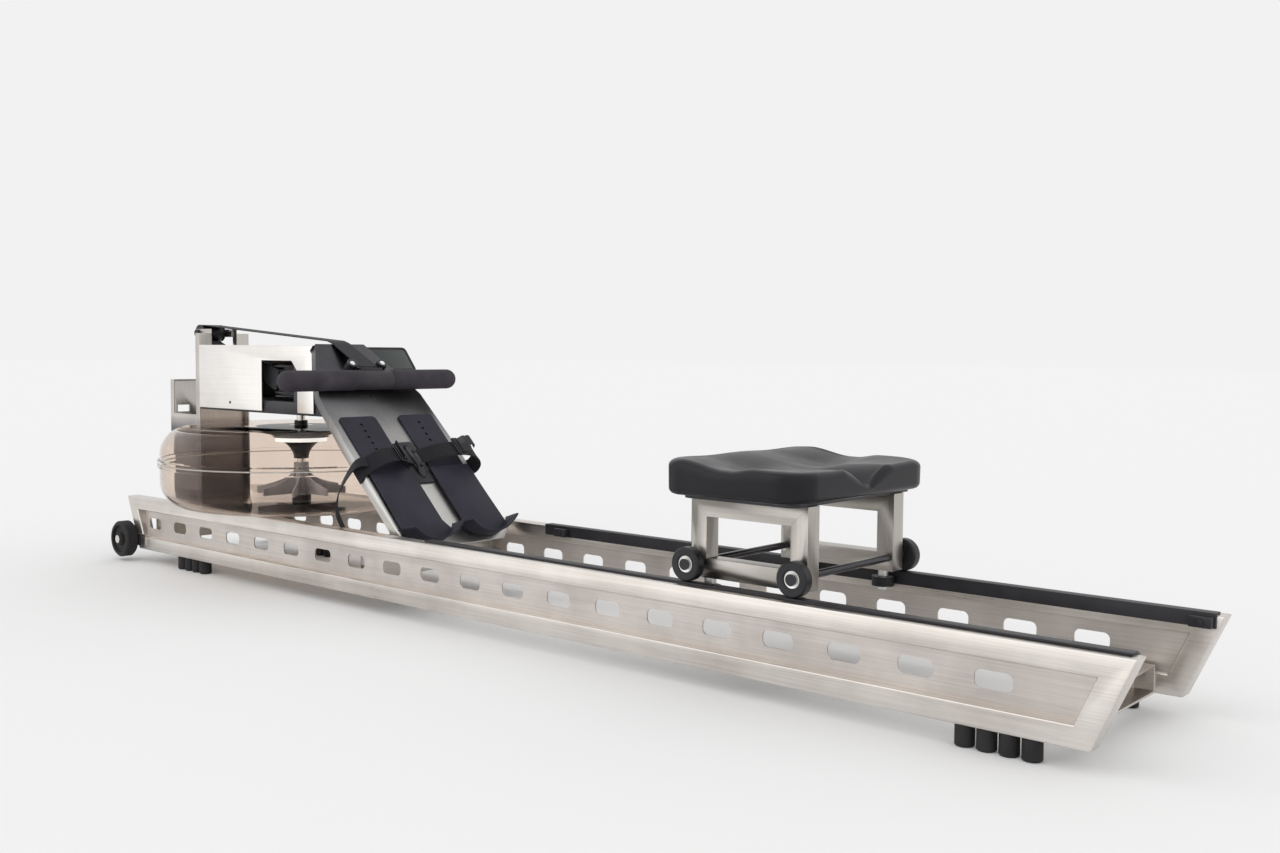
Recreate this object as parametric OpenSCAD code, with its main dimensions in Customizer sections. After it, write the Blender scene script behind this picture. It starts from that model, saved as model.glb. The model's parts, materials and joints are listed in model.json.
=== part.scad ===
// Water rowing machine with a welded steel frame.
// Frame: X along the rails, the rower pulls towards +X. Y across. Z up from the floor.
// Lengths called "from rear" are measured forward from the rear tips of the rails.

/* [Rails] */
// Length of a rail along its top edge
rail_l = 2050; // [1900:10:2200]
// Width over the outer faces of both rails
rail_w = 307; // [290:1:340]
// Height of a rail
rail_h = 104; // [96:1:120]
// Side of the square frame tube
tube = 25.4; // [22:0.1:30]
// How much shorter the bottom edge is at each end
end_slant = 46; // [20:1:60]
// Width of the slanted end tubes along the rail
end_tube = 30; // [26:1:40]
// Depth of the recessed web behind the outer face
web_depth = 14.9; // [8:0.1:18]
// Thickness of the web sheet
web_t = 2; // [1:0.1:3]
// Number of slots in a web
slot_count = 20; // [16:1:20]
// Place of the frontmost slot centre from the front tips
slot_from_front = 85; // [80:1:100]
// Length of a slot
slot_l = 45.5; // [30:0.5:60]
// Height of a slot
slot_h = 21; // [12:0.5:30]
// Place of the rearmost slot centre from the rear
slot_from_rear = 160; // [140:1:180]
// Height of the rubber feet
foot_h = 25; // [20:1:35]
// Radius of a rubber foot
foot_r = 11.4; // [8:0.1:12]
// Distance between the feet of a row
foot_pitch = 26.1; // [25:0.1:30]
// Place of the rear row of feet from the rear
rear_feet_from_rear = 191; // [170:1:260]
// Place of the front row of feet from the front tips
front_feet_from_front = 199; // [120:1:270]
// Thickness of the running track on a rail
track_t = 3; // [2:0.1:4]
// How much shorter the track is than the rail
track_short = 942; // [850:1:955]
// Width of the track from its inner face outwards
track_w = 17; // [16.5:0.1:22]
// Height of the track's leg on the inner face
track_leg_h = 15; // [10:0.5:20]

/* [Seat] */
// Place of the seat centre from the rear
seat_from_rear = 508.5; // [450:1:600]
// Distance between front and rear wheel axles
wheelbase = 167; // [150:1:180]
// Radius of a seat wheel
seat_wheel_r = 22.5; // [20:0.1:26]
// Width of a seat wheel
seat_wheel_w = 15.5; // [12:0.1:17]
// Length of a seat side frame
seat_frame_l = 183; // [170:1:200]
// Height of a seat side frame
seat_frame_h = 106; // [95:1:120]
// Gap between the rail top and the bottom of the side frames
seat_frame_gap = 7.5; // [7:0.5:14]
// Radius of an axle rod
axle_r = 5; // [4:0.1:6]
// Length of the seat pad along the rails
pad_l = 212; // [200:1:240]
// Width of the seat pad
pad_w = 320; // [290:1:340]
// Thickness of the seat pad at its raised sides
pad_h = 47; // [40:1:60]
// Thickness of the plate under the pad
seat_plate_t = 5; // [3:0.5:6]
// Radius of a guide roller
guide_r = 15.5; // [13:0.1:16]
// Height of a guide roller
guide_h = 13; // [10:0.5:14]

/* [Tank] */
// Place of the tank axis from the front tips
tank_from_front = 389; // [385:1:405]
// Radius of the tank body
tank_r = 257; // [245:1:262]
// Height of the tank
tank_h = 152; // [140:1:156]
// Radius of the rounded rims
tank_round = 52; // [40:1:60]
// Wall of the tank
tank_t = 5; // [4:0.5:7]
// Width that the joining flange stands out
flange_out = 4; // [3:0.5:8]
// Height of each half of the flange
flange_h = 7; // [5:0.5:9]
// Height of the pads between the rails and the tank
tank_pad_h = 4; // [3:0.5:8]
// Radius of the paddle
paddle_r = 84; // [60:1:100]
// Radius of the paddle shaft
shaft_r = 8; // [6:0.5:9]

/* [Head] */
// Width of the front tower and the cover
tower_w = 113; // [105:1:125]
// Height of the tower top above the floor
tower_top = 462; // [450:1:475]
// Width of the notch in the tower
notch_w = 63; // [56:1:70]
// Gap between the tank and the tower
tower_gap = 10; // [6:1:14]
// Depth of the tower channel
tower_d = 15; // [12:0.5:20]
// Height of the cover top above the floor
cover_top = 438; // [430:1:445]
// Height of the cover sides
cover_h = 126; // [115:1:130]
// Length of the cover
cover_l = 395; // [380:1:400]
// Thickness of the cover sheet
sheet_t = 2; // [1.5:0.1:3]
// Height of the deck's top face above the floor
deck_top = 332; // [328:1:336]
// Height of the deck tray
deck_h = 24; // [18:1:26]
// Radius of the strap drum
drum_r = 42; // [35:1:46]
// Width of the rowing strap
strap_w = 40; // [30:1:44]
// Thickness of the rowing strap
strap_t = 1.6; // [1:0.1:2]
// Radius of the top pulley
top_pulley_r = 15; // [12:0.5:18]

/* [Footboard] */
// Slope of the footboard
board_angle = 44; // [40:0.5:48]
// Distance of the footboard's top edge behind the tank axis
board_behind = 126.5; // [121:0.5:136]
// Height of the footboard's top edge
board_top = 441; // [436:1:446]
// Length of the footboard down its slope
board_l = 484; // [470:1:490]
// Width of the footboard below its taper
board_w = 235; // [226:1:240]
// Width of the footboard at its top edge
board_top_w = 108; // [96:1:130]
// Thickness of the footboard sheet
board_t = 3; // [2:0.5:4]
// Depth of the footboard's side flanges
board_flange = 18; // [12:1:24]
// Distance between adjustment holes
hole_pitch = 14.6; // [12:0.1:16]
// Travel of a heel plate up the board
heel_travel = 44; // [20:1:44]

/* [Handle] */
// Length of the handle
handle_l = 388; // [330:1:400]
// Radius of the handle grips
grip_r = 18.4; // [15:0.1:20]
// Radius of the handle's core tube
core_r = 11; // [8:0.5:13]
// Length of the handle's middle clamp
clamp_l = 84; // [70:1:100]
// Radius of a handle peg
peg_r = 10; // [8:0.5:12]
// Distance of each peg from the middle
peg_y = 33; // [28:1:40]
// Height of a peg above the footboard
peg_h = 34; // [30:1:45]

/* [Transport wheels] */
// Radius of a transport wheel
roller_r = 36; // [30:1:38]
// Width of a transport wheel
roller_w = 24; // [18:1:28]
// Height of the transport wheel axle above the floor
roller_z = 43.5; // [42:0.5:50]

/* [Hidden] */
$fn = 64;
sliver = 0.01;
run_gap = 0.3;
shaft_gap = 0.05;
rail_bottom = foot_h;
rail_top = rail_bottom + rail_h;
tank_from_rear = rail_l - tank_from_front;
tower_from_rear = tank_from_rear + tank_r + flange_out + tower_gap;
board_from_rear = tank_from_rear - board_behind;
front_feet_from_rear = rail_l - front_feet_from_front;
track_l = rail_l - track_short;
slot_pitch = (rail_l - slot_from_rear - slot_from_front) / (slot_count - 1);
roller_from_rear = rail_l - 14;
overall_l = roller_from_rear + roller_r;
outer_y = rail_w / 2;
inner_y = outer_y - tube;
rail_mid_y = outer_y - tube / 2;
track_top = rail_top + track_t;
leg_t = 3;
leg_inner_y = inner_y - leg_t;
open_top = rail_top - tube;
open_bottom = rail_bottom + tube;
slot_z = (open_top + open_bottom) / 2;
slot_round = 8;
seat_frame_bottom = rail_top + seat_frame_gap;
seat_frame_top = seat_frame_bottom + seat_frame_h;
seat_wheel_z = track_top + run_gap + seat_wheel_r;
seat_wheel_y = leg_inner_y + seat_wheel_w / 2 + 0.6;
seat_frame_out_y = seat_wheel_y - seat_wheel_w / 2 - 9;
seat_frame_in_y = seat_frame_out_y - tube;
guide_y = leg_inner_y - guide_r - run_gap;
guide_z = rail_top - guide_h - 3;
guide_off = wheelbase / 2 - 17;
stop_l = 26;
stop_h = 13;
stop_w = 11;
rear_cross_d = 78;
rear_cross_w = 28;
rear_cross_h = 35;
board_cross_d = board_from_rear - 272.5;
board_cross_side = 40;
board_cross_top = 66;
front_cross_w = 70;
front_cross_h = 46;
front_cross_top = 72;
front_cross_behind = 20;
bolt_down = 14;
rear_bolt_y = 91;
rear_stop_from_rear = 12;
front_stop_from_rear = track_l - 48;
pad_bottom = seat_frame_top + seat_plate_t;
tank_bottom = rail_top + tank_pad_h;
tank_top = tank_bottom + tank_h;
tank_mid = tank_bottom + tank_h / 2 + 8;
hole_r = shaft_r + 14;
deck_bottom = deck_top - deck_h;
tower_x = tower_from_rear;
strap_z = tower_top;
board_cos = cos(board_angle);
board_sin = sin(board_angle);
taper_1 = 68;
taper_2 = 132;
grip_u = 113;
peg_u = 84;
plate_t = 3;
plate_y = 64;
plate_w = 78;
heel_w = 96;
heel_y = 62;
heel_inner_y = 21;
base_plate_top = 187;
base_plate_end = 420;
first_hole = 206.7;
heel_top = 316;
heel_end = 478;
cup_r = 68;
cup_h = 34;
cup_sweep = 48;
cup_u = heel_end - cup_r;
handle_n = grip_r + 0.5;
tower_base = rail_bottom + tube;
post_from_rear = rail_l - 6;
post_top = 366;
drum_z = deck_top + 16;
hub_h = strap_w + 12;
wrap_t = 8;
pulley_x_ahead = 53;
pulley_z = tower_top + 1;
groove_z = drum_z - 3;
core_cord_r = 1.6;
recoil_from_rear = tank_from_rear - 76;
recoil_r = 13;
recoil_half_h = 7.5;
strap_rise = 26;
strap_base = 7.5;
strap_y0 = 12;
strap_y1 = board_w / 2 + 2;
strap_sheet = 1.8;
handle_x = board_from_rear - grip_u * board_cos - handle_n * board_sin;
handle_z = board_top - grip_u * board_sin + handle_n * board_cos;
strap_edge_x = board_from_rear + 5;
strap_edge_z = board_top + 5;
pulley_turn_r = top_pulley_r + strap_t / 2 + 0.3;
pad_corner = 26;
pad_middle_h = pad_h - 10;
notch_half_w = 49;
notch_floor_h = 13;
monitor_from_rear = tank_from_rear - 87;
monitor_y = 124;
monitor_l = 120;
monitor_drop = 62;
monitor_tilt = 50;
monitor_z = 437;

function from_rear(d) = overall_l / 2 - d;
function end_x(z) = end_slant * (rail_top - z) / rail_h;
function board_half(u) =
    u < taper_1 ? board_top_w / 2 + (87 - board_top_w / 2) * u / taper_1 :
    u < taper_2 ? 87 + (board_w / 2 - 5 - 87) * (u - taper_1) / (taper_2 - taper_1) :
    u < 250 ? board_w / 2 - 5 + 5 * (u - taper_2) / (250 - taper_2) :
    board_w / 2;

// Placing helpers

module both_sides() {
    for (s = [0, 1]) {
        mirror([0, s, 0]) children();
    }
}

// Extrudes an outline drawn in X and Z, from y_high down by depth
module side_extrude(y_high, depth) {
    translate([0, y_high, 0])
        rotate([90, 0, 0])
            linear_extrude(depth) children();
}

// Local X runs down the footboard, local Z stands square on it
module on_board() {
    translate([from_rear(board_from_rear), 0, board_top])
        rotate([0, board_angle, 0]) children();
}

module rod_y(r, y0, y1) {
    translate([0, y0, 0]) rotate([-90, 0, 0]) cylinder(r = r, h = y1 - y0);
}

module rod_x(r, l) {
    rotate([0, 90, 0]) cylinder(r = r, h = l);
}

module rounded_rect(l, w, r) {
    union() {
        square([l - 2 * r, w], center = true);
        square([l, w - 2 * r], center = true);
        for (x = [-1, 1], y = [-1, 1]) {
            translate([x * (l / 2 - r), y * (w / 2 - r)]) circle(r = r, $fn = 32);
        }
    }
}

// Frame

module rail_outline() {
    polygon([
        [from_rear(0), rail_top],
        [from_rear(end_slant), rail_bottom],
        [from_rear(rail_l - end_slant), rail_bottom],
        [from_rear(rail_l), rail_top]
    ]);
}

module rail_opening() {
    polygon([
        [from_rear(end_x(open_top) + end_tube), open_top],
        [from_rear(end_x(open_bottom) + end_tube), open_bottom],
        [from_rear(rail_l - end_x(open_bottom) - end_tube), open_bottom],
        [from_rear(rail_l - end_x(open_top) - end_tube), open_top]
    ]);
}

module far_rail() {
    difference() {
        side_extrude(outer_y, tube) rail_outline();
        side_extrude(outer_y + 1, tube + 2) rail_opening();
    }
}

module near_rail_frame() {
    color("silver") mirror([0, 1, 0]) far_rail();
}

module far_rail_frame() {
    color("silver") far_rail();
}

module rail_webs() {
    color("gainsboro")
        both_sides()
            difference() {
                side_extrude(outer_y - web_depth, web_t) rail_opening();
                for (n = [0 : slot_count - 1]) {
                    translate([from_rear(slot_from_rear + n * slot_pitch), 0, slot_z])
                        side_extrude(outer_y, tube)
                            rounded_rect(slot_l, slot_h, slot_round);
                }
            }
}

module running_tracks() {
    length = track_l;
    x_front = from_rear(track_l + 10);
    color("dimgray")
        both_sides()
            translate([x_front, 0, 0])
                union() {
                    translate([0, leg_inner_y, rail_top]) cube([length, track_w, track_t]);
                    translate([0, leg_inner_y, rail_top - track_leg_h])
                        cube([length, leg_t, track_leg_h + track_t]);
                }
}

module track_stops() {
    block_z = rail_top - track_leg_h + 1;
    color("black")
        both_sides()
            for (d = [rear_stop_from_rear, front_stop_from_rear]) {
                translate([from_rear(d + stop_l), leg_inner_y - stop_w, block_z])
                    cube([stop_l, stop_w, stop_h]);
                translate([from_rear(d + stop_l / 2), leg_inner_y - stop_w - 1.5, block_z + stop_h / 2])
                    rod_y(4, 0, 1.5);
            }
}

module rubber_feet() {
    color("black")
        both_sides()
            for (row = [rear_feet_from_rear, front_feet_from_rear], n = [0 : 3]) {
                translate([from_rear(row - n * foot_pitch), rail_mid_y, 0])
                    union() {
                        cylinder(r1 = foot_r - 1.5, r2 = foot_r, h = 1.5);
                        translate([0, 0, 1.5]) cylinder(r = foot_r, h = foot_h - 1.5);
                    }
            }
}

// A folded channel that joins the two rails, open below
module channel_across(d, w, h, z_top) {
    difference() {
        translate([from_rear(d + w), -inner_y, z_top - h]) cube([w, 2 * inner_y, h]);
        translate([from_rear(d + w - board_t), -inner_y + board_t, z_top - h - 1])
            cube([w - 2 * board_t, 2 * inner_y - 2 * board_t, h - board_t + 1]);
    }
}

// Channel between the rail ends, open to the rear, with bolted end plates
module rear_crossmember() {
    color("silver")
        difference() {
            translate([from_rear(rear_cross_d + rear_cross_w), -inner_y, rail_bottom])
                cube([rear_cross_w, 2 * inner_y, rear_cross_h]);
            translate([from_rear(rear_cross_d + rear_cross_w) + board_t, -inner_y + board_t,
                rail_bottom + board_t])
                cube([rear_cross_w, 2 * inner_y - 2 * board_t, rear_cross_h - 2 * board_t]);
        }
}

module board_crossmember() {
    color("silver")
        channel_across(board_cross_d, board_cross_side, board_cross_side,
            rail_bottom + board_cross_top);
}

module front_crossmember() {
    color("silver")
        channel_across(tower_x - front_cross_behind, front_cross_w, front_cross_h,
            rail_bottom + front_cross_top);
}

module crossmember_bolts() {
    color("silver")
        both_sides()
            for (p = [
                [board_cross_d + board_cross_side / 2, board_cross_top - bolt_down],
                [tower_x - 2, front_cross_top - bolt_down - 4],
                [tower_x + 32, front_cross_top - bolt_down - 4]
            ]) {
                translate([from_rear(p[0]), inner_y - board_t, rail_bottom + p[1]])
                    difference() {
                        rod_y(6, -5, 0);
                        translate([0, -6, 0]) rotate([-90, 0, 0]) cylinder(r = 3, h = 4, $fn = 6);
                    }
            }
    color("silver")
        for (s = [-1, 1]) {
            translate([from_rear(rear_cross_d + rear_cross_w) + board_t, s * rear_bolt_y,
                rail_bottom + rear_cross_h / 2 + 3])
                difference() {
                    rod_x(8, 9);
                    translate([5, 0, 0]) rotate([0, 90, 0]) cylinder(r = 4, h = 6, $fn = 6);
                }
        }
}

module transport_axles() {
    color("silver")
        both_sides()
            translate([from_rear(roller_from_rear), 0, roller_z])
                union() {
                    rod_y(5, outer_y, outer_y + roller_w + 6);
                    rod_y(12, outer_y, outer_y + 2);
                    translate([0, outer_y, -12]) cube([60, 2, 24]);
                    rod_y(8, outer_y + roller_w + 3, outer_y + roller_w + 6);
                }
}

module transport_wheel() {
    translate([from_rear(roller_from_rear), outer_y + 2.4, roller_z])
        rotate([-90, 0, 0])
            rotate_extrude($fn = 96)
                polygon([
                    [5 + shaft_gap, 0], [18, 0], [18, 3], [28, 3], [28, 0], [roller_r - 3, 0],
                    [roller_r, 3], [roller_r, roller_w - 3], [roller_r - 3, roller_w],
                    [28, roller_w], [27, roller_w - 5], [13, roller_w - 5], [12, roller_w],
                    [5 + shaft_gap, roller_w]
                ]);
}

module near_transport_wheel() {
    color("black") mirror([0, 1, 0]) transport_wheel();
}

module far_transport_wheel() {
    color("black") transport_wheel();
}

// Tank

function arc(cx, cz, r, a0, a1, n) =
    [for (i = [0 : n]) [cx + r * cos(a0 + (a1 - a0) * i / n), cz + r * sin(a0 + (a1 - a0) * i / n)]];

module at_tank(z) {
    translate([from_rear(tank_from_rear), 0, z]) children();
}

module tank_lower_shell() {
    rim = tank_r - tank_round;
    color("wheat")
        at_tank(0)
            rotate_extrude($fn = 128)
                polygon(concat(
                    [[0, tank_bottom]],
                    arc(rim, tank_bottom + tank_round, tank_round, -90, 0, 16),
                    [[tank_r, tank_mid - flange_h], [tank_r + flange_out, tank_mid - flange_h],
                     [tank_r + flange_out, tank_mid - 1], [tank_r - tank_t, tank_mid - 1]],
                    arc(rim, tank_bottom + tank_round, tank_round - tank_t, 0, -90, 16),
                    [[0, tank_bottom + tank_t]]
                ));
}

module tank_upper_shell() {
    rim = tank_r - tank_round;
    color("wheat")
        at_tank(0)
            rotate_extrude($fn = 128)
                polygon(concat(
                    [[hole_r, tank_top]],
                    arc(rim, tank_top - tank_round, tank_round, 90, 0, 16),
                    [[tank_r, tank_mid + flange_h], [tank_r + flange_out, tank_mid + flange_h],
                     [tank_r + flange_out, tank_mid + 1], [tank_r - tank_t, tank_mid + 1]],
                    arc(rim, tank_top - tank_round, tank_round - tank_t, 0, 90, 16),
                    [[hole_r, tank_top - tank_t]]
                ));
}

module tank_gasket() {
    color("tan")
        at_tank(tank_mid - 1)
            difference() {
                cylinder(r = tank_r + flange_out, h = 2, $fn = 128);
                translate([0, 0, -1]) cylinder(r = tank_r - tank_t, h = 4, $fn = 128);
            }
}

module tank_pads() {
    pad_run = 150;
    color("black")
        both_sides()
            translate([from_rear(tank_from_rear) - pad_run / 2, inner_y + 2, rail_top])
                cube([pad_run, tube - 4, tank_pad_h]);
}

neck_top = tank_top - tank_t;
neck_low = tank_mid + 4;
neck_waist = shaft_r + 6;
neck_steps = 12;

// Point i of the flared sleeve's outline, its radius growing with the cube of the height
function neck_point(i, out) = [
    neck_waist + (paddle_r - neck_waist) * pow(i / neck_steps, 3) + out,
    neck_low + (neck_top - neck_low) * i / neck_steps
];

// Dark flared sleeve that carries the shaft below the lid
module tank_neck() {
    top = neck_top;
    low = neck_low;
    outer = [for (i = [0 : neck_steps]) neck_point(i, 0)];
    color("dimgray")
        at_tank(0)
            rotate_extrude($fn = 64)
                polygon(concat(
                    [[shaft_r + 3, low]], outer,
                    [[paddle_r, top], [hole_r, top], [hole_r, top + tank_t + 6],
                     [shaft_r + 3, top + tank_t + 6]]
                ));
}

// Pale collar that sits on the sleeve's flare
module bearing_ring() {
    ring_r = 48.5;
    low_z = neck_point(7, 0)[1];
    high_z = neck_point(9, 0)[1];
    color("white")
        at_tank(0)
            rotate_extrude()
                polygon(concat(
                    [[ring_r, low_z], [ring_r, high_z]],
                    [for (i = [9 : -1 : 7]) neck_point(i, 0.05)]
                ));
}

module bottom_bearing() {
    color("black")
        at_tank(tank_bottom + tank_t)
            difference() {
                cylinder(r = shaft_r + 10, h = 12);
                translate([0, 0, 4]) cylinder(r = shaft_r + shaft_gap, h = 12);
            }
}

module paddle_shaft() {
    color("silver")
        at_tank(tank_bottom + tank_t + 4.2)
            cylinder(r = shaft_r, h = drum_z + hub_h + 3 - tank_bottom - tank_t - 4.2);
}

// Four blades, narrow at the shaft and wide at the floor of the tank
module paddle() {
    low = tank_bottom + tank_t + 14;
    high = tank_mid - 4;
    waist = shaft_r + 6;
    steps = 10;
    root_r = shaft_r + 3;
    tip_r = waist - 1.5;
    tip_z = high - 2;
    curve = [for (i = [0 : steps])
        [tip_r + (paddle_r - tip_r) * pow(1 - i / steps, 3), low + 14 + (tip_z - low - 14) * i / steps]];
    color("slategray")
        at_tank(0)
            difference() {
                union() {
                    translate([0, 0, low]) cylinder(r = waist, h = high - low);
                    for (a = [0 : 45 : 315]) {
                        rotate([90, 0, a])
                            translate([0, 0, -1.5])
                                linear_extrude(3)
                                    polygon(concat(
                                        [[root_r, low + 1], [paddle_r, low + 1]], curve,
                                        [[root_r, tip_z]]
                                    ));
                    }
                }
                translate([0, 0, low - 1]) cylinder(r = shaft_r, h = high - low + 2);
            }
}

// Head

module deck_tray() {
    front = tower_from_rear;
    rear = 1440;
    half = tower_w / 2 - sheet_t - 1;
    color("black")
        difference() {
            union() {
                translate([from_rear(front), -half, deck_bottom])
                    cube([front - rear, 2 * half, deck_h]);
                translate([from_rear(recoil_from_rear + 26), -half + 4, deck_top])
                    cube([34, 22, 66]);
                translate([from_rear(recoil_from_rear), 0, deck_top]) {
                    cylinder(r = 7, h = groove_z - recoil_half_h - 0.2 - deck_top);
                    cylinder(r = 4, h = groove_z + recoil_half_h + 0.2 - deck_top);
                    translate([0, 0, groove_z + recoil_half_h + 0.2 - deck_top])
                        cylinder(r = 7, h = 2);
                }
            }
            translate([from_rear(front - 4), -half + 4, deck_bottom - 1])
                cube([front - rear - 8, 2 * half - 8, deck_h - 3]);
            at_tank(deck_bottom) cylinder(r = shaft_r + 3, h = deck_h + 10);
            on_board()
                translate([0, -200, -board_flange - 0.2]) cube([600, 400, 200]);
        }
}

module tower() {
    half = tower_w / 2;
    notch_floor = cover_top - 32;
    x0 = from_rear(tower_from_rear + tower_d);
    arm_x0 = from_rear(tower_from_rear + pulley_x_ahead + 8);
    arm_y = strap_w / 2 + 6;
    color("silver")
        difference() {
            union() {
                translate([x0, -half, rail_bottom + 72]) cube([tower_d, tower_w, tower_top - rail_bottom - 72]);
                for (s = [-1, 1]) {
                    translate([arm_x0, s > 0 ? arm_y : -arm_y - 3, pulley_z - 8])
                        cube([x0 - arm_x0 + tower_d, 3, 16]);
                }
            }
            translate([x0 - 1, -notch_w / 2 + 3, notch_floor])
                cube([tower_d + 2, notch_w - 6, 200]);
            translate([x0 + 3, -half + 3, rail_bottom + 71])
                cube([tower_d, tower_w - 6, notch_floor - rail_bottom - 90]);
            translate([from_rear(tower_from_rear + pulley_x_ahead), 0, pulley_z])
                rod_y(4, -60, 60);
        }
}

module pulley_axle() {
    reach = strap_w / 2 + 9;
    color("black")
        translate([from_rear(tower_from_rear + pulley_x_ahead), 0, pulley_z])
            union() {
                rod_y(4, -reach, reach);
                rod_y(7, reach, reach + 4);
                rod_y(7, -reach - 4, -reach);
            }
}

module top_pulley() {
    half = strap_w / 2 + 5;
    color("dimgray")
        translate([from_rear(tower_from_rear + pulley_x_ahead), -half, pulley_z])
            rotate([-90, 0, 0])
                rotate_extrude()
                    polygon([
                        [4 + shaft_gap, 0], [top_pulley_r + 2, 0], [top_pulley_r + 2, 2],
                        [top_pulley_r, 3], [top_pulley_r, 2 * half - 3],
                        [top_pulley_r + 2, 2 * half - 2], [top_pulley_r + 2, 2 * half],
                        [4 + shaft_gap, 2 * half]
                    ]);
}

// Folded plate in front of the tower, on which the machine also stands when stored upright
module storage_post() {
    half = tower_w / 2;
    x0 = from_rear(post_from_rear + 4);
    reach = post_from_rear - tower_from_rear - tower_d + 4;
    base = rail_bottom + 72;
    color("silver")
        difference() {
            union() {
                translate([x0, -half, base]) cube([reach, 3, post_top - base - 70]);
                translate([x0, half - 3, base]) cube([reach, 3, post_top - base - 70]);
                translate([x0, -half, base]) cube([12, tower_w, post_top - base]);
            }
            translate([x0 + 4, -half + 3, base - 1]) cube([12, tower_w - 6, post_top - base - 2]);
            translate([x0 - 1, -half + 14, post_top - 68]) cube([20, 26, 14]);
            translate([x0 - 1, half - 40, post_top - 68]) cube([20, 26, 14]);
        }
}

module steel_cover() {
    half = tower_w / 2 + 1;
    x0 = from_rear(tower_from_rear);
    z0 = cover_top - cover_h;
    cut_x0 = x0 + 226;
    color("gainsboro")
        difference() {
            translate([x0, -half, z0]) cube([cover_l, 2 * half, cover_h]);
            translate([x0 - 1, -half + sheet_t, z0 - 1])
                cube([cover_l + 2, 2 * half - 2 * sheet_t, cover_h + 1 - sheet_t]);
            side_extrude(-half + 30, 40)
                polygon([
                    [cut_x0, z0 - 1], [cut_x0, cover_top - 29], [cut_x0 + 100, cover_top - 29],
                    [cut_x0 + 118, cover_top - 48], [cut_x0 + 118, z0 - 1]
                ]);
            on_board()
                translate([0, -200, -board_flange - 0.3]) cube([600, 400, 200]);
            translate([x0 - 1, -notch_w / 2 + 3, cover_top - 10]) cube([26, notch_w - 6, 20]);
        }
}

module drive_hub() {
    color("black")
        at_tank(drum_z - 8)
            difference() {
                union() {
                    cylinder(r = drum_r - wrap_t, h = hub_h + 8);
                    cylinder(r = drum_r + 6, h = 3);
                    translate([0, 0, 7]) cylinder(r = drum_r + 6, h = 3);
                    translate([0, 0, hub_h + 5]) cylinder(r = drum_r + 6, h = 3);
                }
                translate([0, 0, -1]) cylinder(r = shaft_r + shaft_gap, h = hub_h + 20);
            }
}

// The strap's turns on the drum, as a ring of layers
module hub_strap_winding() {
    color("dimgray")
        at_tank(drum_z + 3)
            difference() {
                cylinder(r = drum_r, h = strap_w);
                translate([0, 0, -1]) cylinder(r = drum_r - wrap_t, h = strap_w + 2);
            }
}

module recoil_pulley() {
    rim = recoil_r + 6;
    h = recoil_half_h;
    color("dimgray")
        translate([from_rear(recoil_from_rear), 0, groove_z])
            rotate_extrude()
                polygon([
                    [4 + shaft_gap, -h], [rim, -h], [recoil_r, 2 - core_cord_r * 2],
                    [recoil_r, core_cord_r * 2 - 2], [rim, h], [4 + shaft_gap, h]
                ]);
}

// Point of an arc in the plane of the loop, with its outward direction
function loop_point(cx, r, a) = [[cx + r * cos(a), r * sin(a), 0], [cos(a), sin(a), 0]];

// Elastic cord led round the groove below the drum and round the recoil pulley, one loop
module recoil_cord() {
    big_r = drum_r - wrap_t + core_cord_r + 0.3;
    small_r = recoil_r + core_cord_r + 0.3;
    gap = tank_from_rear - recoil_from_rear;
    lean = asin((big_r - small_r) / gap);
    big_steps = 24;
    small_steps = 12;
    facets = 8;
    path = concat(
        [for (i = [0 : big_steps]) loop_point(0, big_r, 90 - lean + (180 + 2 * lean) * i / big_steps)],
        [for (i = [0 : small_steps])
            loop_point(gap, small_r, lean - 90 + (180 - 2 * lean) * i / small_steps)]
    );
    count = len(path);
    points = [for (p = path, j = [0 : facets - 1]) let (a = 360 * j / facets)
        p[0] + core_cord_r * (p[1] * cos(a) + [0, 0, sin(a)])];
    faces = [for (i = [0 : count - 1], j = [0 : facets - 1], k = [0, 1])
        let (
            n = (i + 1) % count, m = (j + 1) % facets,
            a = facets * i + j, b = facets * i + m, c = facets * n + m, d = facets * n + j
        )
        k == 0 ? [a, b, c] : [a, c, d]];
    color("gray")
        translate([from_rear(tank_from_rear), 0, groove_z]) polyhedron(points, faces);
}

// Footboard

function board_side(s, inset, u_end) =
    [for (u = [0, taper_1, taper_2, 250, u_end]) [u, s * (board_half(u) - inset)]];

module board_outline(inset) {
    corner = 24;
    polygon(concat(
        board_side(1, inset, board_l - corner),
        [[board_l, board_half(board_l) - corner], [board_l, -board_half(board_l) + corner]],
        [for (i = [4 : -1 : 0]) board_side(-1, inset, board_l - corner)[i]]
    ));
}

module footboard() {
    color("gray")
        on_board()
            union() {
                translate([0, 0, -board_t]) linear_extrude(board_t) board_outline(0);
                for (s = [-1, 1]) {
                    translate([0, 0, -board_flange])
                        linear_extrude(board_flange)
                            polygon(concat(
                                board_side(s, 0, board_l - 40),
                                [for (i = [4 : -1 : 0]) board_side(s, 2.5, board_l - 40)[i]]
                            ));
                }
            }
}

module handle_pegs() {
    color("black")
        on_board()
            for (s = [-1, 1]) {
                translate([peg_u, s * peg_y, 0]) cylinder(r = peg_r, h = peg_h - 4);
            }
}

module peg_caps() {
    color("white")
        on_board()
            for (s = [-1, 1]) {
                translate([peg_u, s * peg_y, peg_h - 4])
                    intersection() {
                        scale([1, 1, 1]) sphere(r = peg_r - 1);
                        cylinder(r = peg_r, h = peg_r);
                    }
            }
}

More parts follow.
